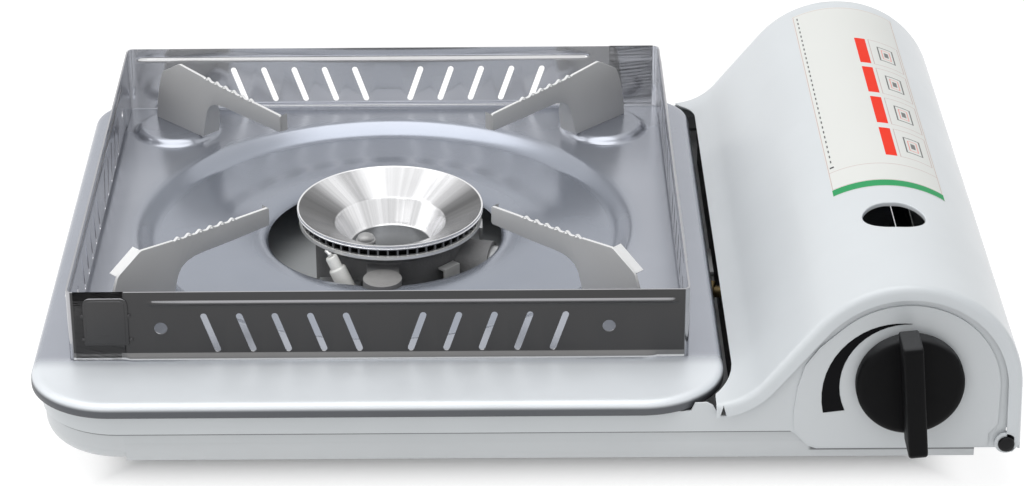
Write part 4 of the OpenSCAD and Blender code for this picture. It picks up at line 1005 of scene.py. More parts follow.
@dataclass
class PotSupports(Assembly):
    """Four stamped supports, toothed on top, one on each diagonal, with folds on their rear side."""

    sheet: float = 1.2
    teeth: int = 6
    corners: tuple[tuple[str, float, int], ...] = (
        ("rear_left", 135.0, -1), ("rear_right", 45.0, 1), ("front_left", 225.0, -1), ("front_right", 315.0, 1))

    def outline(self) -> list[Point2]:
        """Outline of the stamped sheet: distance along the diagonal, and height."""
        points = [(105.3, 2.5), (134.0, 2.5), (133.2, 9.0), (131.6, 16.4), (131.0, 18.6), (129.3, 23.2), (128.6, 24.2),
                  (118.8, 30.0), (117.8, 30.25), (103.4, 28.95)]
        for i in range(self.teeth):
            x, z = 100.9 - 5.1 * i, 28.7 - 0.27 * i
            points += [(x + 1.7, z - 0.15), (x + 0.3, z + 0.75), (x - 0.3, z + 0.72), (x - 1.7, z - 0.3)]
        points += [(73.0, 27.2), (58.6, 26.45), (58.0, 25.9), (58.0, 19.9), (58.6, 19.3), (76.0, 19.4), (90.0, 19.75),
                   (94.0, 19.6), (97.5, 18.8), (100.0, 17.4), (101.8, 15.0), (103.0, 11.5), (104.2, 7.0)]
        return points

    def build(self) -> None:
        """Makes the four supports."""
        for corner, angle, hand in self.corners:
            bm = bmesh.new()
            half = self.sheet / 2
            slab(bm, [(x, -half, z) for x, z in self.outline()], (0, self.sheet, 0), 0.16)
            for i in range(self.teeth):
                self.tooth(bm, 100.9 - 5.1 * i, 28.9 - 0.27 * i)
            self.fold(bm, hand, [(118.1, 30.35), (129.1, 23.75)], [3.5, 3.5])
            self.fold(bm, hand, [(58.0, 26.3), (58.0, 19.4)], [2.7, 2.7])
            self.fold(bm, hand, [(105.4, 2.6), (104.3, 6.8), (103.0, 11.5), (101.8, 15.0), (100.0, 17.4), (97.5, 18.9)],
                      [7.2, 6.9, 6.2, 4.6, 2.6, 0.9])
            bmesh.ops.rotate(bm, cent=(0, 0, 0), matrix=Matrix.Rotation(math.radians(angle), 3, "Z"), verts=bm.verts)
            self.piece(f"support_{corner}", bm, "top_plate", "support_steel", "stamped_support_sheet",
                       (f"pot_support_{corner}",), crease=40.0)

    @staticmethod
    def tooth(bm: BMesh, x: float, z: float) -> None:
        """A small coined diamond on the top edge."""
        part = bmesh.new()
        bmesh.ops.create_cone(part, cap_ends=True, segments=4, radius1=1.45, radius2=0.45, depth=0.9)
        bmesh.ops.scale(part, vec=(1.0, 0.95, 1.0), verts=part.verts)
        bmesh.ops.bevel(part, geom=part.edges[:], offset=0.12, segments=1, profile=0.5, affect="EDGES", material=-1)
        bmesh.ops.translate(part, vec=(x, 0.0, z + 0.15), verts=part.verts)
        take_in(bm, part)

    def fold(self, bm: BMesh, hand: int, line: Sequence[Point2], widths: Sequence[float]) -> None:
        """A flange folded over along a line of the outline.

        Args:
            bm: Mesh that takes the flange.
            hand: Side that it folds to.
            line: Points of the outline that it follows.
            widths: How far it stands out at each point.
        """
        part = bmesh.new()
        half = self.sheet / 2
        near = [(x, hand * (half - 0.35), z) for x, z in line]
        far = [(x, hand * (half + w), z) for (x, z), w in zip(line, widths)]
        loft(part, [near, far])
        bmesh.ops.solidify(part, geom=part.faces[:], thickness=0.9)
        bmesh.ops.recalc_face_normals(part, faces=part.faces)
        sharp = [e for e in part.edges if len(e.link_faces) == 2 and e.calc_face_angle(0.0) > math.radians(40)]
        bmesh.ops.bevel(part, geom=sharp, offset=0.18, segments=2, profile=0.5, affect="EDGES", material=-1)
        take_in(bm, part)


# ------------------------------------------------------------------ wind guard


@dataclass
class WindGuard(Assembly):
    """Square guard of two L-shaped polished sheets with leaning slots, each hooked into the other by a tab."""

    centre: Point2 = (1.0, -0.4)
    foot: float = 0.3
    half: float = 108.5
    height: float = 26.3
    bend: float = 2.6
    sheet: float = 0.6
    slots: int = 5
    first_slot: float = 11.2
    pitch: float = 12.4
    slot_length: float = 15.9
    slot_width: float = 2.3
    slot_height: float = 10.4
    lean: float = 19.0
    pattern_shift: float = 2.3
    hole: tuple[float, float, float] = (78.1, 12.2, 2.3)
    bead_span: Point2 = (-79.4, 103.8)
    hem_span: Point2 = (-88.0, 96.2)
    band: Point2 = (2.7, 19.9)

    def path(self) -> list[tuple[float, float, float, float, float]]:
        """Stations of one half along its outer face.

        Returns:
            For each station its X, Y, way of the outward normal in degrees, and how full the hem and the bead are.
        """
        h, b = self.half, self.bend
        run = h - b
        stations: list[tuple[float, float, float, float, float]] = []
        cells = [self.first_slot + self.pitch * (i - 0.5) for i in range(self.slots + 1)]
        middles = sorted(self.pattern_shift + side * c for side in (-1, 1) for c in cells)
        places = [-run, -90.0, -88.6, -87.0, -85.0, -80.6, -79.6, -78.2, *middles, 74.0, 87.0, 92.0, 94.0, 95.8, 97.5,
                  100.5, 102.4, 103.6, 104.6, run]
        ends = [(u, self.fullness(u, self.hem_span, 2.5), self.fullness(u, self.bead_span, 1.4)) for u in places]
        stations += [(u, -h, -90.0, hem, bead) for u, hem, bead in ends]
        stations += [(*polar((h - b, -h + b), b, a), float(a), 0.0, 0.0) for a in range(-75, 0, 15)]
        stations += [(h, u, 0.0, hem, bead) for u, hem, bead in ends]
        stations += [(*polar((h - b, h - b), b, a), float(a), 0.0, 0.0) for a in range(15, 90, 15)]
        stations += [(h - b - u, h, 90.0, 0.0, 0.0) for u in (0.0, 17.6)]
        return stations

    @staticmethod
    def fullness(u: float, span: Point2, fade: float) -> float:
        """How full a rolled bead is at a place along its panel."""
        return blend((u - span[0] + fade / 2) / fade) * blend((span[1] - u + fade / 2) / fade)

    def section(self) -> list[tuple[float, float, float]]:
        """Heights up the sheet, with the outward set of the foot's hem and of the top bead."""
        low, high = self.band
        foot = [(0.0, 0.7, 0.0), (0.25, 0.95, 0.0), (0.7, 1.0, 0.0), (1.2, 0.9, 0.0), (1.7, 0.65, 0.0), (2.2, 0.3, 0.0),
                (2.5, 0.05, 0.0)]
        top = [(20.9, 0.0, 0.0), (21.2, 0.0, 0.15), (21.6, 0.0, 0.55), (22.1, 0.0, 0.8), (22.6, 0.0, 0.6),
               (23.0, 0.0, 0.15), (23.3, 0.0, 0.0), (self.height - 0.5, 0.0, 0.0), (self.height, 0.0, 0.0)]
        return [*foot, (low, 0.0, 0.0), (high, 0.0, 0.0), *top]

    def half_skin(self) -> BMesh:
        """One half, drawn with its bend at the front right."""
        bm = bmesh.new()
        stations = self.path()
        rings = []
        for z, hem_set, bead_set in self.section():
            ring = []
            for x, y, way, hem, bead in stations:
                a = math.radians(way)
                set_out = hem_set * hem + bead_set * bead
                ring.append((x + math.cos(a) * set_out, y + math.sin(a) * set_out, z))
            rings.append(ring)
        loft(bm, rings)
        for at_front in (True, False):
            for outline in self.openings(at_front):
                middle = sum((Vector(p) for p in outline), Vector()) / len(outline)
                cell = self.cell_round(bm, middle, at_front)
                rim = list(cell.edges)
                bmesh.ops.delete(bm, geom=[cell], context="FACES_ONLY")
                bmesh.ops.triangle_fill(bm, edges=rim + chain(bm, outline, True)[1], use_beauty=True)
        return bm

    def cell_round(self, bm: BMesh, middle: Vector, at_front: bool) -> BMFace:
        """Finds the flat face of a panel that an opening's middle lies on.

        Args:
            bm: The half's mesh.
            middle: Middle of the opening.
            at_front: Whether the panel is the front one or the right one of the half.

        Returns:
            The face.
        """
        axis, across = (0, 1) if at_front else (1, 0)
        for face in bm.faces:
            spread = [v.co[axis] for v in face.verts]
            heights = [v.co.z for v in face.verts]
            flat = all(abs(v.co[across] - middle[across]) < 0.01 for v in face.verts)
            if flat and min(spread) < middle[axis] < max(spread) and min(heights) < middle.z < max(heights):
                return face
        raise ValueError(f"no panel face under {middle}")

    def openings(self, at_front: bool) -> list[list[tuple[float, float, float]]]:
        """Outlines of a panel's slots and of its two round holes.

        Args:
            at_front: Whether the panel is the front one or the right one of the half.

        Returns:
            The points of each outline.
        """
        def place(u: float, z: float) -> tuple[float, float, float]:
            return (u, -self.half, z) if at_front else (self.half, u, z)

        outlines = []
        reach, radius = (self.slot_length - self.slot_width) / 2, self.slot_width / 2
        for side in (-1, 1):
            tilt = math.radians(self.lean) * side
            for i in range(self.slots):
                middle = self.pattern_shift + side * (self.first_slot + self.pitch * i)
                points = []
                for end in (1, -1):
                    for k in range(7):
                        p, q = polar((0.0, end * reach), radius, 180 * k / 6 + (0 if end > 0 else 180))
                        points.append(place(middle + p * math.cos(tilt) + q * math.sin(tilt),
                                            self.slot_height - p * math.sin(tilt) + q * math.cos(tilt)))
                outlines.append(points)
            centre = (self.pattern_shift + side * self.hole[0], self.hole[1])
            outlines.append([place(*polar(centre, self.hole[2], 360 * k / 24)) for k in range(24)])
        return outlines

    def tab(self, bm: BMesh) -> None:
        """The hooked tab at a half's free end, as a raised rounded square with nibs."""
        low, high = (-102.6, 5.8), (-87.0, 24.2)
        outline = round_rectangle(low, high, (0.8, 0.8, 2.6, 2.6), 0.0, 6)
        slab(bm, [(u, -self.half - 0.02, z) for u, z in outline], (0, -0.5, 0), 0.22, 3)
        inner = round_rectangle((low[0] + 1.1, low[1] + 1.0), (high[0] - 1.1, high[1] - 1.0), (0.6, 0.6, 1.9, 1.9), 0.0, 5)
        slab(bm, [(u, -self.half - 0.3, z) for u, z in inner], (0, -0.4, 0), 0.2, 2)
        for u, z in ((low[0] - 0.3, 17.3), (low[0] - 0.3, 8.2), (high[0] + 0.2, 17.5), (high[0] + 0.7, 8.1)):
            block(bm, (u - 0.65, -self.half - 0.7, z - 0.55), (u + 0.65, -self.half + 0.1, z + 0.55), 0.28)
        block(bm, (-97.8, -self.half - 0.78, 9.6), (-94.0, -self.half - 0.3, 9.9), 0.1)

    def build(self) -> None:
        """Makes both halves."""
        for name, angle in (("front_right", 0.0), ("rear_left", 180.0)):
            turn = Matrix.Rotation(math.radians(angle), 3, "Z")
            bm = self.half_skin()
            self.settle(bm, turn)
            self.piece(f"guard_{name}", bm, "wind_guard", "guard_steel", "polished_guard_sheet",
                       (f"wind_guard_{name}",), crease=40.0, sheet=self.sheet, face_up=self.outwards)
            bm = bmesh.new()
            self.tab(bm)
            self.settle(bm, turn)
            self.piece(f"guard_tab_{name}", bm, "wind_guard", "guard_steel", "polished_guard_sheet", crease=40.0)

    def settle(self, bm: BMesh, turn: Matrix) -> None:
        """Turns a half and sets it on the plate."""
        bmesh.ops.rotate(bm, cent=(0, 0, 0), matrix=turn, verts=bm.verts)
        bmesh.ops.translate(bm, vec=(*self.centre, self.foot), verts=bm.verts)

    def outwards(self, face: BMFace) -> float:
        """How far a face looks away from the guard's middle."""
        c = face.calc_center_median()
        return ((c.x - self.centre[0]) * face.normal.x + (c.y - self.centre[1]) * face.normal.y) * face.calc_area()


# ------------------------------------------------------------------ burner


@dataclass
class Burner(Assembly):
    """Bowl-shaped cap over a slotted ring on a cast base, with its electrode."""

    axis: Point2 = (2.2, 0.0)
    ceramic_top: tuple[float, float, float] = (-19.2, -30.0, 0.6)
    ceramic_foot: tuple[float, float, float] = (-12.4, -31.8, -14.0)

    def build(self) -> None:
        """Makes the burner."""
        self.cap()
        self.cap_screw()
        self.ceramic()
        self.softened("burner_base", "base", "cast_grey", "cast_burner_iron", 0.5)
        self.softened("flame_ring", "base", "ring_steel", "bright_ring_steel", 0.08)
        self.softened("electrode_bracket", "base", "zinc_steel", "zinc_plated_steel", 0.15)
        self.softened("burner_stay", "base", "zinc_steel", "bright_ring_steel", 0.2)
        self.dress("electrode_needle", "bright_ring_steel")
        self.softened("burner_fixing_screws", "base", "zinc_steel", "zinc_plated_steel", 0.3)
        self.softened("mixing_tube", "base", "tube_steel", "zinc_plated_steel", 0.2)
        self.softened("air_collar", "base", "brass", "turned_brass", 0.2)
        self.softened("injector", "base", "brass", "turned_brass", 0.2)

    def cap(self) -> None:
        """The bowl: two cones, a flat floor and a rolled rim."""
        bm = bmesh.new()
        inside = [(0.0, -8.8), (8.0, -8.8), (14.7, -8.8), (15.3, -8.65), (15.7, -8.2), (16.3, -7.2), (18.5, -3.6),
                  (20.5, -0.35), (20.9, 0.25), (21.4, 0.72), (22.2, 1.12), (28.0, 3.9), (34.2, 6.85)]
        rim = [(34.7, 7.15), (35.0, 7.3), (35.25, 7.25), (35.35, 7.0), (35.33, 6.55), (35.1, 6.4), (34.95, 6.3),
               (35.1, 6.15), (35.3, 6.0), (35.3, 5.75), (35.1, 5.62), (34.4, 5.6)]
        under = [(32.8, 5.6), (27.5, 2.7), (22.0, -0.4), (21.4, -0.9), (16.8, -8.4), (16.0, -9.6), (15.2, -9.9), (0.0, -9.9)]
        turned(bm, inside + rim + under, 160, (*self.axis, 0.0))
        self.piece("cap_bowl", bm, "base", "spun_aluminium", "spun_aluminium", ("burner_cap",), crease=40.0)

    def cap_screw(self) -> None:
        """Pan head with a cross recess, on a washer, in the bowl's floor."""
        bm = bmesh.new()
        x, y = self.axis[0] - 9.6, self.axis[1] + 1.6
        head = [(0.0, 3.1), (1.2, 3.0), (2.2, 2.75), (2.9, 2.3), (3.25, 1.7), (3.3, 0.9), (3.7, 0.75), (3.8, 0.4),
                (3.8, 0.0), (1.6, 0.0), (1.6, -7.9), (0.0, -7.9)]
        turned(bm, head, 40, (x, y, -8.8))
        for turn in (0.3, 0.3 + math.pi / 2):
            block(bm, (-1.7, -0.32, 2.5), (1.7, 0.32, 3.02), 0.12,
                  matrix=Matrix.Translation((x, y, -8.8)) @ Matrix.Rotation(turn, 4, "Z"))
        self.piece("cap_screw_head", bm, "base", "ring_steel", "dull_screw_steel", ("burner_cap_screw",), crease=35.0)

    def ceramic(self) -> None:
        """Stepped ceramic sleeve of the electrode."""
        foot, top = Vector(self.ceramic_foot), Vector(self.ceramic_top)
        length = (top - foot).length
        section = [(0.75, 0.0), (3.0, 0.0), (3.3, 0.3), (3.3, length - 5.6), (3.0, length - 5.1), (2.5, length - 4.9),
                   (2.3, length - 4.6), (2.3, length - 0.5), (1.9, length - 0.05), (0.75, length)]
        bm = bmesh.new()
        turned(bm, section, 40, matrix=up_to(top - foot, foot))
        self.piece("electrode_sleeve", bm, "base", "ceramic", "glazed_ceramic", ("electrode_ceramic",), crease=42.0)


# ------------------------------------------------------------------ cover


@dataclass
class Cover(Assembly):
    """Arched cover over the cartridge with rolled ends, a look-in window and a printed film."""

    arch: Point2 = (181.5, 2.7)
    radius: float = 40.0
    foot_centre: Point2 = (115.5, 20.0)
    foot_radius: float = 22.2
    start: float = 117.2
    gap_edge: float = 124.1
    end_height: float = -21.0
    front: float = -140.0
    rear: float = 117.0
    roll: float = 2.4
    flange: float = 5.0
    sheet: float = 0.8
    window: tuple[float, float, float, float] = (182.0, -83.7, 22.0, 19.6)
    hinge: Point2 = (216.9, -17.7)

    def flank(self) -> float:
        """Slope of the flank in degrees."""
        dx, dz = self.arch[0] - self.foot_centre[0], self.arch[1] - self.foot_centre[1]
        reach = (self.radius + self.foot_radius) / math.hypot(dx, dz)
        return math.degrees(math.asin(reach) - math.atan2(-dz, dx))

    def left_edge(self, y: float) -> float:
        """Where the cover's toe ends beside the plate, at a distance to the rear."""
        for corner, radius, beyond in (((91.5, -112.0), 32.6, -1), ((101.5, 97.0), 22.6, 1)):
            if (y - corner[1]) * beyond > 0:
                return max(self.start, corner[0] + math.sqrt(max(radius ** 2 - (y - corner[1]) ** 2, 0.0)))
        return self.gap_edge

    def line(self, inset: float, first: float) -> list[Point2]:
        """Section of the cover's outer face, moved inwards.

        Args:
            inset: How far it is moved.
            first: Where its toe starts.

        Returns:
            Points from the toe to the end of the right wall.
        """
        slope = self.flank()
        foot, crown = self.foot_radius + inset, self.radius - inset
        begin = math.degrees(math.asin((first - self.foot_centre[0]) / foot))
        points = [polar(self.foot_centre, foot, -90 + begin + (slope - begin) * k / 14) for k in range(15)]
        top_left = polar(self.arch, crown, 90 + slope)
        points += [tuple(Vector(points[-1]).lerp(Vector(top_left), k / 5)) for k in range(1, 5)]
        points += [polar(self.arch, crown, (90 + slope) * (1 - k / 52)) for k in range(53)]
        x = self.arch[0] + crown
        points += [(x + 0.7 * k / 6, self.arch[1] + (self.end_height - self.arch[1]) * k / 6) for k in range(1, 7)]
        return points

    def stations(self) -> list[tuple[float, float]]:
        """Distance to the rear and inset of each section from the front flange to the rear one."""
        steps = [math.radians(a) for a in (90, 75, 60, 45, 30, 15, 0)]
        front = [(self.front, self.flange), (self.front, (self.flange + self.roll) / 2)]
        front += [(self.front + self.roll * (1 - math.sin(a)), self.roll * (1 - math.cos(a))) for a in steps]
        rear = [(self.front + self.rear - y, d) for y, d in reversed(front)]
        y1, y2 = front[-1][0], rear[0][0]
        between = [-135.5, -133.5, -131.8, -130.4, -128.0, -125.0, -121.5, -117.5, -113.5, -110.0, -106.0, -101.0, -97.5]
        window = [-94.8 + k for k in range(0, 23, 2)]
        after = [-69.0 + 166.0 * k / 16 for k in range(17)] + [99.0, 101.0, 102.8, 104.4, 105.8, 107.0, 109.0, 112.0]
        return front + [(y, 0.0) for y in between + window + after if y1 < y < y2] + rear

    def skin(self) -> None:
        """The cover's sheet with its window and hinge lugs."""
        bm = bmesh.new()
        rings = [[(x, y, z) for x, z in self.line(d, self.left_edge(y))] for y, d in self.stations()]
        loft(bm, rings)
        bmesh.ops.remove_doubles(bm, verts=bm.verts, dist=0.002)
        self.cut_window(bm)
        self.cut_corners(bm)
        self.piece("cover_sheet", bm, "cover", "cover_paint", "cover_white_paint", ("cover",), crease=50.0,
                   sheet=self.sheet, face_up=lambda f: f.normal.z * f.calc_area())
        bm = bmesh.new()
        turn = Matrix.Rotation(math.radians(90), 4, "X")
        for y, way in ((self.front, 1), (self.rear - self.sheet, 1)):
            ring = [(1.65, 0.0), (3.6, 0.0), (3.84, -0.12), (3.9, -0.35), (3.9, -0.75), (1.65, -0.78)]
            turned(bm, ring + ring[:1], 48, (self.hinge[0], y, self.hinge[1]), matrix=turn)
        self.piece("cover_hinge_lugs", bm, "cover", "cover_paint", "cover_white_paint", crease=40.0)

    def cut_window(self, bm: BMesh) -> None:
        """Cuts the look-in window and rolls its edge inwards."""
        cx, cy, length, width = self.window
        end, radius = (length - width) / 2, width / 2
        near = [f for f in bm.faces if f.calc_center_median().z > 30 and abs(f.calc_center_median().x - cx) < end + radius + 1.6
                and abs(f.calc_center_median().y - cy) < radius + 1.6]
        inside = {e for f in near for e in f.edges}
        rim = [e for e in inside if sum(1 for f in e.link_faces if f in near) == 1]
        count = len(rim)
        bmesh.ops.delete(bm, geom=near, context="FACES")

        def drop(x: float, y: float, depth: float, grow: float) -> tuple[float, float, float]:
            px, py = cx + (x - cx) * grow, cy + (y - cy) * grow
            over = math.sqrt(max((self.radius - depth) ** 2 - (px - self.arch[0]) ** 2, 1.0))
            return px, py, self.arch[1] + over

        outline = []
        for k in range(count):
            a = 360.0 * (k + 0.5) / count
            x, y = polar((0.0, 0.0), radius, a)
            outline.append((cx + x + math.copysign(end, x), cy + y))
        rings = [[drop(x, y, depth, grow) for x, y in outline]
                 for depth, grow in ((0.0, 1.045), (0.05, 1.02), (0.25, 1.004), (0.6, 1.0), (1.5, 0.998))]
        verts, edges = chain(bm, rings[0], True)
        bmesh.ops.bridge_loops(bm, edges=[e for e in rim if e.is_valid] + edges)
        for ring in rings[1:]:
            grown = bmesh.ops.extrude_edge_only(bm, edges=edges)["geom"]
            fresh = {v for v in grown if isinstance(v, BMVert)}
            edges = [e for e in grown if isinstance(e, BMEdge) and e.verts[0] in fresh and e.verts[1] in fresh]
            twin = {tuple(v.co): v for v in fresh}
            verts = [twin[tuple(v.co)] for v in verts]
            for vert, place in zip(verts, ring):
                vert.co = place

    def cut_corners(self, bm: BMesh) -> None:
        """Cuts the notch beside the front toe, and takes the lower right corner off both end faces."""
        self.clip(bm, lambda c: c.y < self.front + 1.0 and 116.0 < c.x < 124.0,
                  ((119.6, -2.5), (118.0, -8.0), (121.2, -8.0)))
        for reach in (lambda c: c.y < self.front + 2.3, lambda c: c.y > self.rear - 2.3):
            self.clip(bm, lambda c: reach(c) and c.x > 217.0 and c.z < -15.0,
                      ((222.5, -16.6), (220.8, -19.2), (219.2, -21.1), (218.6, -23.0), (224.0, -23.0), (224.0, -16.6)))

    @staticmethod
    def clip(bm: BMesh, chosen: Callable[[Vector], bool], outline: Sequence[Point2]) -> None:
        """Removes the part of a sheet that lies inside an outline drawn in X and Z.

        Args:
            bm: Mesh of the sheet.
            chosen: Tells by its middle whether a face may be cut.
            outline: Points of the outline, in order.
        """
        for (x0, z0), (x1, z1) in zip(outline, [*outline[1:], outline[0]]):
            faces = [f for f in bm.faces if chosen(f.calc_center_median())]
            parts = {*faces, *(e for f in faces for e in f.edges), *(v for f in faces for v in f.verts)}
            bmesh.ops.bisect_plane(bm, geom=list(parts), dist=1e-5, plane_co=(x0, 0, z0), plane_no=(z1 - z0, 0, x0 - x1))

        def within(c: Vector) -> bool:
            hits = 0
            for (x0, z0), (x1, z1) in zip(outline, [*outline[1:], outline[0]]):
                if (z0 > c.z) != (z1 > c.z) and c.x < x0 + (c.z - z0) * (x1 - x0) / (z1 - z0):
                    hits += 1
            return hits % 2 == 1

        inside = [f for f in bm.faces if chosen(f.calc_center_median()) and within(f.calc_center_median())]
        bmesh.ops.delete(bm, geom=inside, context="FACES")

    def film(self) -> None:
        """The printed film on the crown, with its own flat map."""
        bm = bmesh.new()
        first, last, y1, y2 = 117.2, 57.0, -60.4, 108.0
        out = self.radius + 0.1
        angles = [first + (last - first) * k / 40 for k in range(41)]
        rings = [[(*polar(self.arch, out, a)[:1], y1 + (y2 - y1) * j / 40, polar(self.arch, out, a)[1]) for a in angles]
                 for j in range(41)]
        loft(bm, rings)
        layer = bm.loops.layers.uv.new("film")
        for face in bm.faces:
            for loop in face.loops:
                c = loop.vert.co
                a = math.degrees(math.atan2(c.z - self.arch[1], c.x - self.arch[0]))
                loop[layer].uv = (math.radians(first - a) * out / 100.0, (c.y + 58.0) / 200.0)
        self.piece("cover_film", bm, "cover", "film", "printed_film", ("cover_label",), sheet=0.08,
                   face_up=lambda f: f.normal.z)

    def build(self) -> None:
        """Makes the cover."""
        self.skin()
        self.film()


# ------------------------------------------------------------------ control panel


@dataclass
class Controls(Assembly):
    """Knob with its grip, printed wedge, and the cover's black hinge screws."""

    axis: Point2 = (182.5, 7.0)
    back: float = -139.5
    disc: float = 5.5
    front: float = -159.0
    radius: float = 18.5
    grip: Point2 = (6.9, 6.5)
    grip_reach: Point2 = (22.5, 20.4)
    grip_turn: float = 5.5
    hinge: Point2 = (216.9, -17.7)

    def knob(self) -> None:
        """Skirt disc with a grip bar across it."""
        bm = bmesh.new()
        r, d = self.radius, self.disc
        turn = Matrix.Rotation(math.radians(90), 4, "X")
        skirt = [(3.0, 0.0), (r - 0.5, 0.0), (r - 0.1, 0.15), (r, 0.5), (r, d - 2.2), (r - 0.25, d - 1.3),
                 (r - 0.9, d - 0.55), (r - 1.9, d - 0.12), (r - 3.0, d), (0.0, d)]
        turned(bm, [(3.0, 3.0), *skirt], 96, (self.axis[0], self.back, self.axis[1]), matrix=turn)
        z = self.axis[1]
        rear, face = self.back - d + 0.4, self.front
        top, low = z + self.grip_reach[0], z - self.grip_reach[1]
        side = [(rear, low + 0.4), (rear, top - 0.3), (face + 1.2, top), (face, top - 1.4), (face, low + 1.6),
                (face + 1.6, low)]
        bar = bmesh.new()
        slab(bar, [(-0.5, y, h) for y, h in side], (1.0, 0, 0))
        for vert in bar.verts:
            share = (vert.co.z - low) / (top - low)
            vert.co.x *= self.grip[1] + (self.grip[0] - self.grip[1]) * share
        bmesh.ops.bevel(bar, geom=bar.edges[:], offset=0.9, segments=3, profile=0.5, affect="EDGES", material=-1,
                        clamp_overlap=True)
        lean = Matrix.Translation((self.axis[0], 0, z)) @ Matrix.Rotation(math.radians(-self.grip_turn), 4, "Y")
        bmesh.ops.transform(bar, matrix=lean @ Matrix.Translation((0, 0, -z)), verts=bar.verts)
        take_in(bm, bar)
        self.piece("knob_shell", bm, "knob", "knob_plastic", "knob_black_plastic", ("knob",), crease=44.0)

    def screws(self) -> None:
        """Domed black screw heads in the cover's hinge lugs."""
        bm = bmesh.new()
        head = [(1.5, 5.0), (1.5, 0.1), (2.7, 0.1), (2.85, -0.1), (2.85, -0.6), (2.6, -1.05), (2.0, -1.35), (1.1, -1.5),
                (0.0, -1.5)]
        front = Matrix.Rotation(math.radians(-90), 4, "X")
        turned(bm, head, 40, (self.hinge[0], -140.3, self.hinge[1]), matrix=front)
        turned(bm, head, 40, (self.hinge[0], 117.3, self.hinge[1]), matrix=Matrix.Rotation(math.radians(90), 4, "X"))
        self.piece("hinge_screws", bm, "base", "black_steel", "black_screw_enamel", ("cover_hinge_pins",), crease=40.0)

    def build(self) -> None:
        """Makes the controls."""
        self.knob()
        self.screws()
        self.dress("knob_index", "screen_printed_black")
        self.softened("valve_spindle", "knob", "brass", "turned_brass", 0.2)
        self.softened("ignition_cam", "knob", "white_plastic", "natural_plastic", 0.15)


# ------------------------------------------------------------------ body and fittings


@dataclass
class Body(Assembly):
    """Painted pan and frame, and the fittings inside them."""

    def build(self) -> None:
        """Dresses the body."""
        self.softened("base_pan", "base", "body_paint", "pan_white_paint", 0.22)
        self.softened("body_frame", "base", "body_paint", "baked_white_paint", 0.26)
        # The bay's partition takes a near black sheet, a painted shade.
        plain = {
            "cartridge_trough": ("zinc_steel", "zinc_plated_steel"), "bay_partition": ("zinc_steel", "shadow_black_sheet"),
            "regulator_bracket": ("zinc_steel", "zinc_plated_steel"), "regulator_screws": ("zinc_steel", "zinc_plated_steel"),
            "body_screws": ("zinc_steel", "zinc_plated_steel"), "cover_catch": ("zinc_steel", "zinc_plated_steel"),
            "locating_key": ("zinc_steel", "zinc_plated_steel"), "heat_plate": ("spun_aluminium", "zinc_plated_steel"),
            "pipe_nuts": ("brass", "turned_brass"), "regulator_body": ("die_cast", "die_cast_alloy"),
            "cartridge_collar": ("die_cast", "die_cast_alloy"), "diaphragm_cover": ("yellow_zinc", "yellow_passivated_zinc"),
            "collar_magnet": ("magnet", "magnet_black"), "valve_gasket": ("black_rubber", "moulded_rubber"),
            "rubber_feet": ("black_rubber", "moulded_rubber"), "piezo_igniter": ("igniter_plastic", "igniter_black_plastic"),
        }
        for node, (slot, finish) in plain.items():
            self.softened(node, "base", slot, finish, 0.2)
        self.softened("igniter_striker", "striker", "white_plastic", "natural_plastic", 0.2)
        self.dress("gas_pipe", "turned_brass")
        self.dress("ignition_lead", "red_silicone")


# ------------------------------------------------------------------ stage


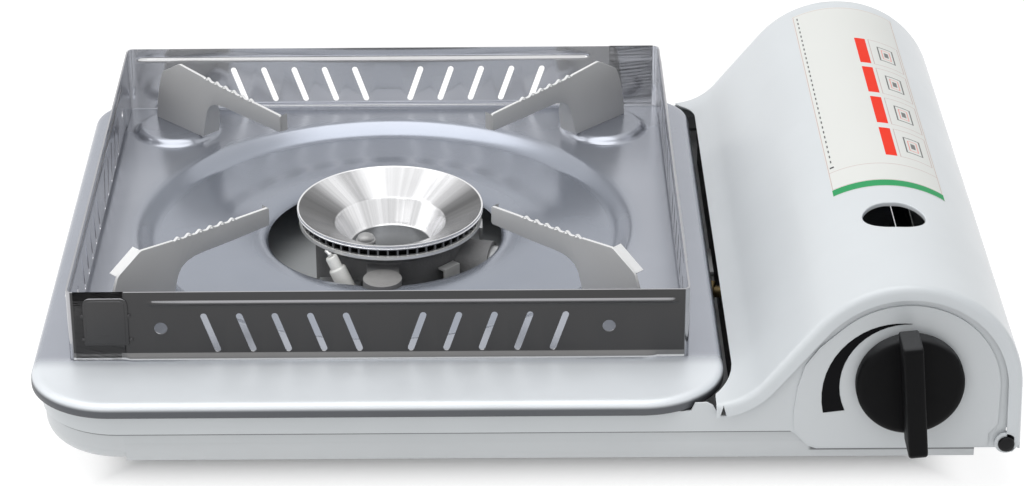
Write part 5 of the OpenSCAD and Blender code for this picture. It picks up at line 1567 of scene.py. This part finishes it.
@dataclass
class Studio:
    """Pale floor, soft lamps and the camera."""

    eye: tuple[float, float, float] = (-0.01070, -1.06009, 0.56556)
    pitch: float = 26.618
    yaw: float = -0.294
    roll: float = -0.5
    focal_px: float = 3155.48
    centre_px: Point2 = (475.71, 253.89)
    frame_px: Point2 = (1024.0, 486.0)
    shade: Point2 = (0.156, 0.115)

    def camera(self) -> None:
        """Sets the camera."""
        pitch, yaw, roll = (math.radians(v) for v in (self.pitch, self.yaw, self.roll))
        ahead = Vector((math.sin(yaw) * math.cos(pitch), math.cos(yaw) * math.cos(pitch), -math.sin(pitch)))
        right = Vector((math.cos(yaw), -math.sin(yaw), 0.0))
        up = right.cross(ahead)
        x = math.cos(roll) * right + math.sin(roll) * up
        y = -math.sin(roll) * right + math.cos(roll) * up
        data = bpy.data.cameras.new("studio_camera")
        data.sensor_width = 36.0
        data.lens = self.focal_px / self.frame_px[0] * 36.0
        data.shift_x = (self.frame_px[0] / 2 - self.centre_px[0]) / self.frame_px[0]
        data.shift_y = (self.centre_px[1] - self.frame_px[1] / 2) / self.frame_px[0]
        data.clip_start, data.clip_end = 0.05, 60.0
        cam = bpy.data.objects.new("studio_camera", data)
        turn = Matrix((x, y, -ahead)).transposed().to_4x4()
        cam.matrix_world = Matrix.Translation(self.eye) @ turn
        bpy.context.scene.collection.objects.link(cam)
        bpy.context.scene.camera = cam

    def lamp(self, name: str, place: Sequence[float], aim: Sequence[float], size: Point2, power: float) -> None:
        """Adds a soft area lamp.

        Args:
            name: The lamp's name.
            place: Where it hangs.
            aim: What it points at.
            size: Width and height.
            power: Its power in watts.
        """
        data = bpy.data.lights.new(name, "AREA")
        data.shape, data.size, data.size_y, data.energy = "RECTANGLE", size[0], size[1], power
        obj = bpy.data.objects.new(name, data)
        way = Vector(aim) - Vector(place)
        obj.matrix_world = Matrix.Translation(place) @ way.to_track_quat("-Z", "Y").to_matrix().to_4x4()
        bpy.context.scene.collection.objects.link(obj)

    @staticmethod
    def seen(desk: NodeDesk) -> bpy.types.NodeSocket:
        """1 for camera, glossy and transmission rays, 0 for the rest."""
        rays = desk.add("ShaderNodeLightPath").outputs
        some = desk.math("MAXIMUM", rays["Is Camera Ray"], rays["Is Glossy Ray"])
        return desk.math("MAXIMUM", some, rays["Is Transmission Ray"])

    def surroundings(self) -> None:
        """White surroundings for the eye and for reflections, a plain level for the rest."""
        world = bpy.data.worlds.new("studio")
        world.use_nodes = True
        desk = NodeDesk(world.node_tree)
        plain, white = desk.add("ShaderNodeBackground"), desk.add("ShaderNodeBackground")
        plain.inputs["Color"].default_value = (0.97, 0.985, 1.0, 1.0)
        plain.inputs["Strength"].default_value = 0.52
        white.inputs["Strength"].default_value = 1.0
        white.inputs["Color"].default_value = (1.0, 1.0, 1.0, 1.0)
        mixed = desk.add("ShaderNodeMixShader")
        desk.feed(mixed.inputs[0], self.seen(desk))
        desk.feed(mixed.inputs[1], plain.outputs[0])
        desk.feed(mixed.inputs[2], white.outputs[0])
        desk.feed(desk.add("ShaderNodeOutputWorld").inputs["Surface"], mixed.outputs[0])
        bpy.context.scene.world = world

    def floor(self) -> None:
        """A wide pale floor that keeps the object's shadow."""
        bm = bmesh.new()
        bmesh.ops.create_grid(bm, x_segments=2, y_segments=2, size=6.0)
        mesh = bpy.data.meshes.new("floor")
        bm.to_mesh(mesh)
        bm.free()
        obj = bpy.data.objects.new("floor", mesh)
        bpy.context.scene.collection.objects.link(obj)
        material = bpy.data.materials.new("pale_floor")
        material.use_nodes = True
        desk = NodeDesk(material.node_tree)
        shader, glow = desk.add("ShaderNodeBsdfDiffuse"), desk.add("ShaderNodeEmission")
        shader.inputs["Color"].default_value = (0.9, 0.9, 0.9, 1.0)
        glow.inputs["Color"].default_value = (1.0, 1.0, 1.0, 1.0)
        glow.inputs["Strength"].default_value = 1.24
        mixed = desk.add("ShaderNodeMixShader")
        x, y, _ = desk.split(desk.add("ShaderNodeTexCoord").outputs["Object"])
        # Painted shadow: inside a box of half sizes shade under the stove, the glow is dimmed by place, over the
        # floor's own shadowed diffuse.
        beyond = desk.math("MAXIMUM", desk.math("SUBTRACT", desk.math("ABSOLUTE", x), self.shade[0]),
                           desk.math("SUBTRACT", desk.math("ABSOLUTE", y), self.shade[1]))
        lit = desk.span(beyond, -0.03, 0.0, 0.05, 0.7)
        desk.feed(mixed.inputs[0], desk.math("MULTIPLY", self.seen(desk), lit))
        desk.feed(mixed.inputs[1], shader.outputs[0])
        desk.feed(mixed.inputs[2], glow.outputs[0])
        desk.feed(desk.add("ShaderNodeOutputMaterial").inputs["Surface"], mixed.outputs[0])
        mesh.materials.append(material)

    def build(self) -> None:
        """Sets the whole studio."""
        self.camera()
        self.surroundings()
        self.floor()
        self.lamp("top_lamp", (-0.25, -0.1, 1.5), (0.0, 0.0, 0.0), (1.6, 1.6), 15.0)
        self.lamp("front_lamp", (-1.0, -1.6, 0.9), (-0.1, 0.0, 0.05), (1.2, 0.8), 3.4)
        self.lamp("left_lamp", (-1.5, 0.1, 0.9), (0.1, 0.0, 0.05), (0.8, 0.8), 2.6)
        scene = bpy.context.scene
        scene.view_settings.view_transform = "Standard"


def main() -> None:
    """Builds the stove's looks in order."""
    logging.basicConfig(level=logging.INFO, format="%(name)s: %(message)s")
    Studio().build()
    shop = FinishShop()
    for assembly in (Body(shop), TopPlate(shop), PotSupports(shop), WindGuard(shop), Burner(shop), Cover(shop),
                     Controls(shop)):
        assembly.build()
        log.info("%s: %s", type(assembly).__name__, ", ".join(assembly.pieces))


if __name__ == "__main__":
    main()
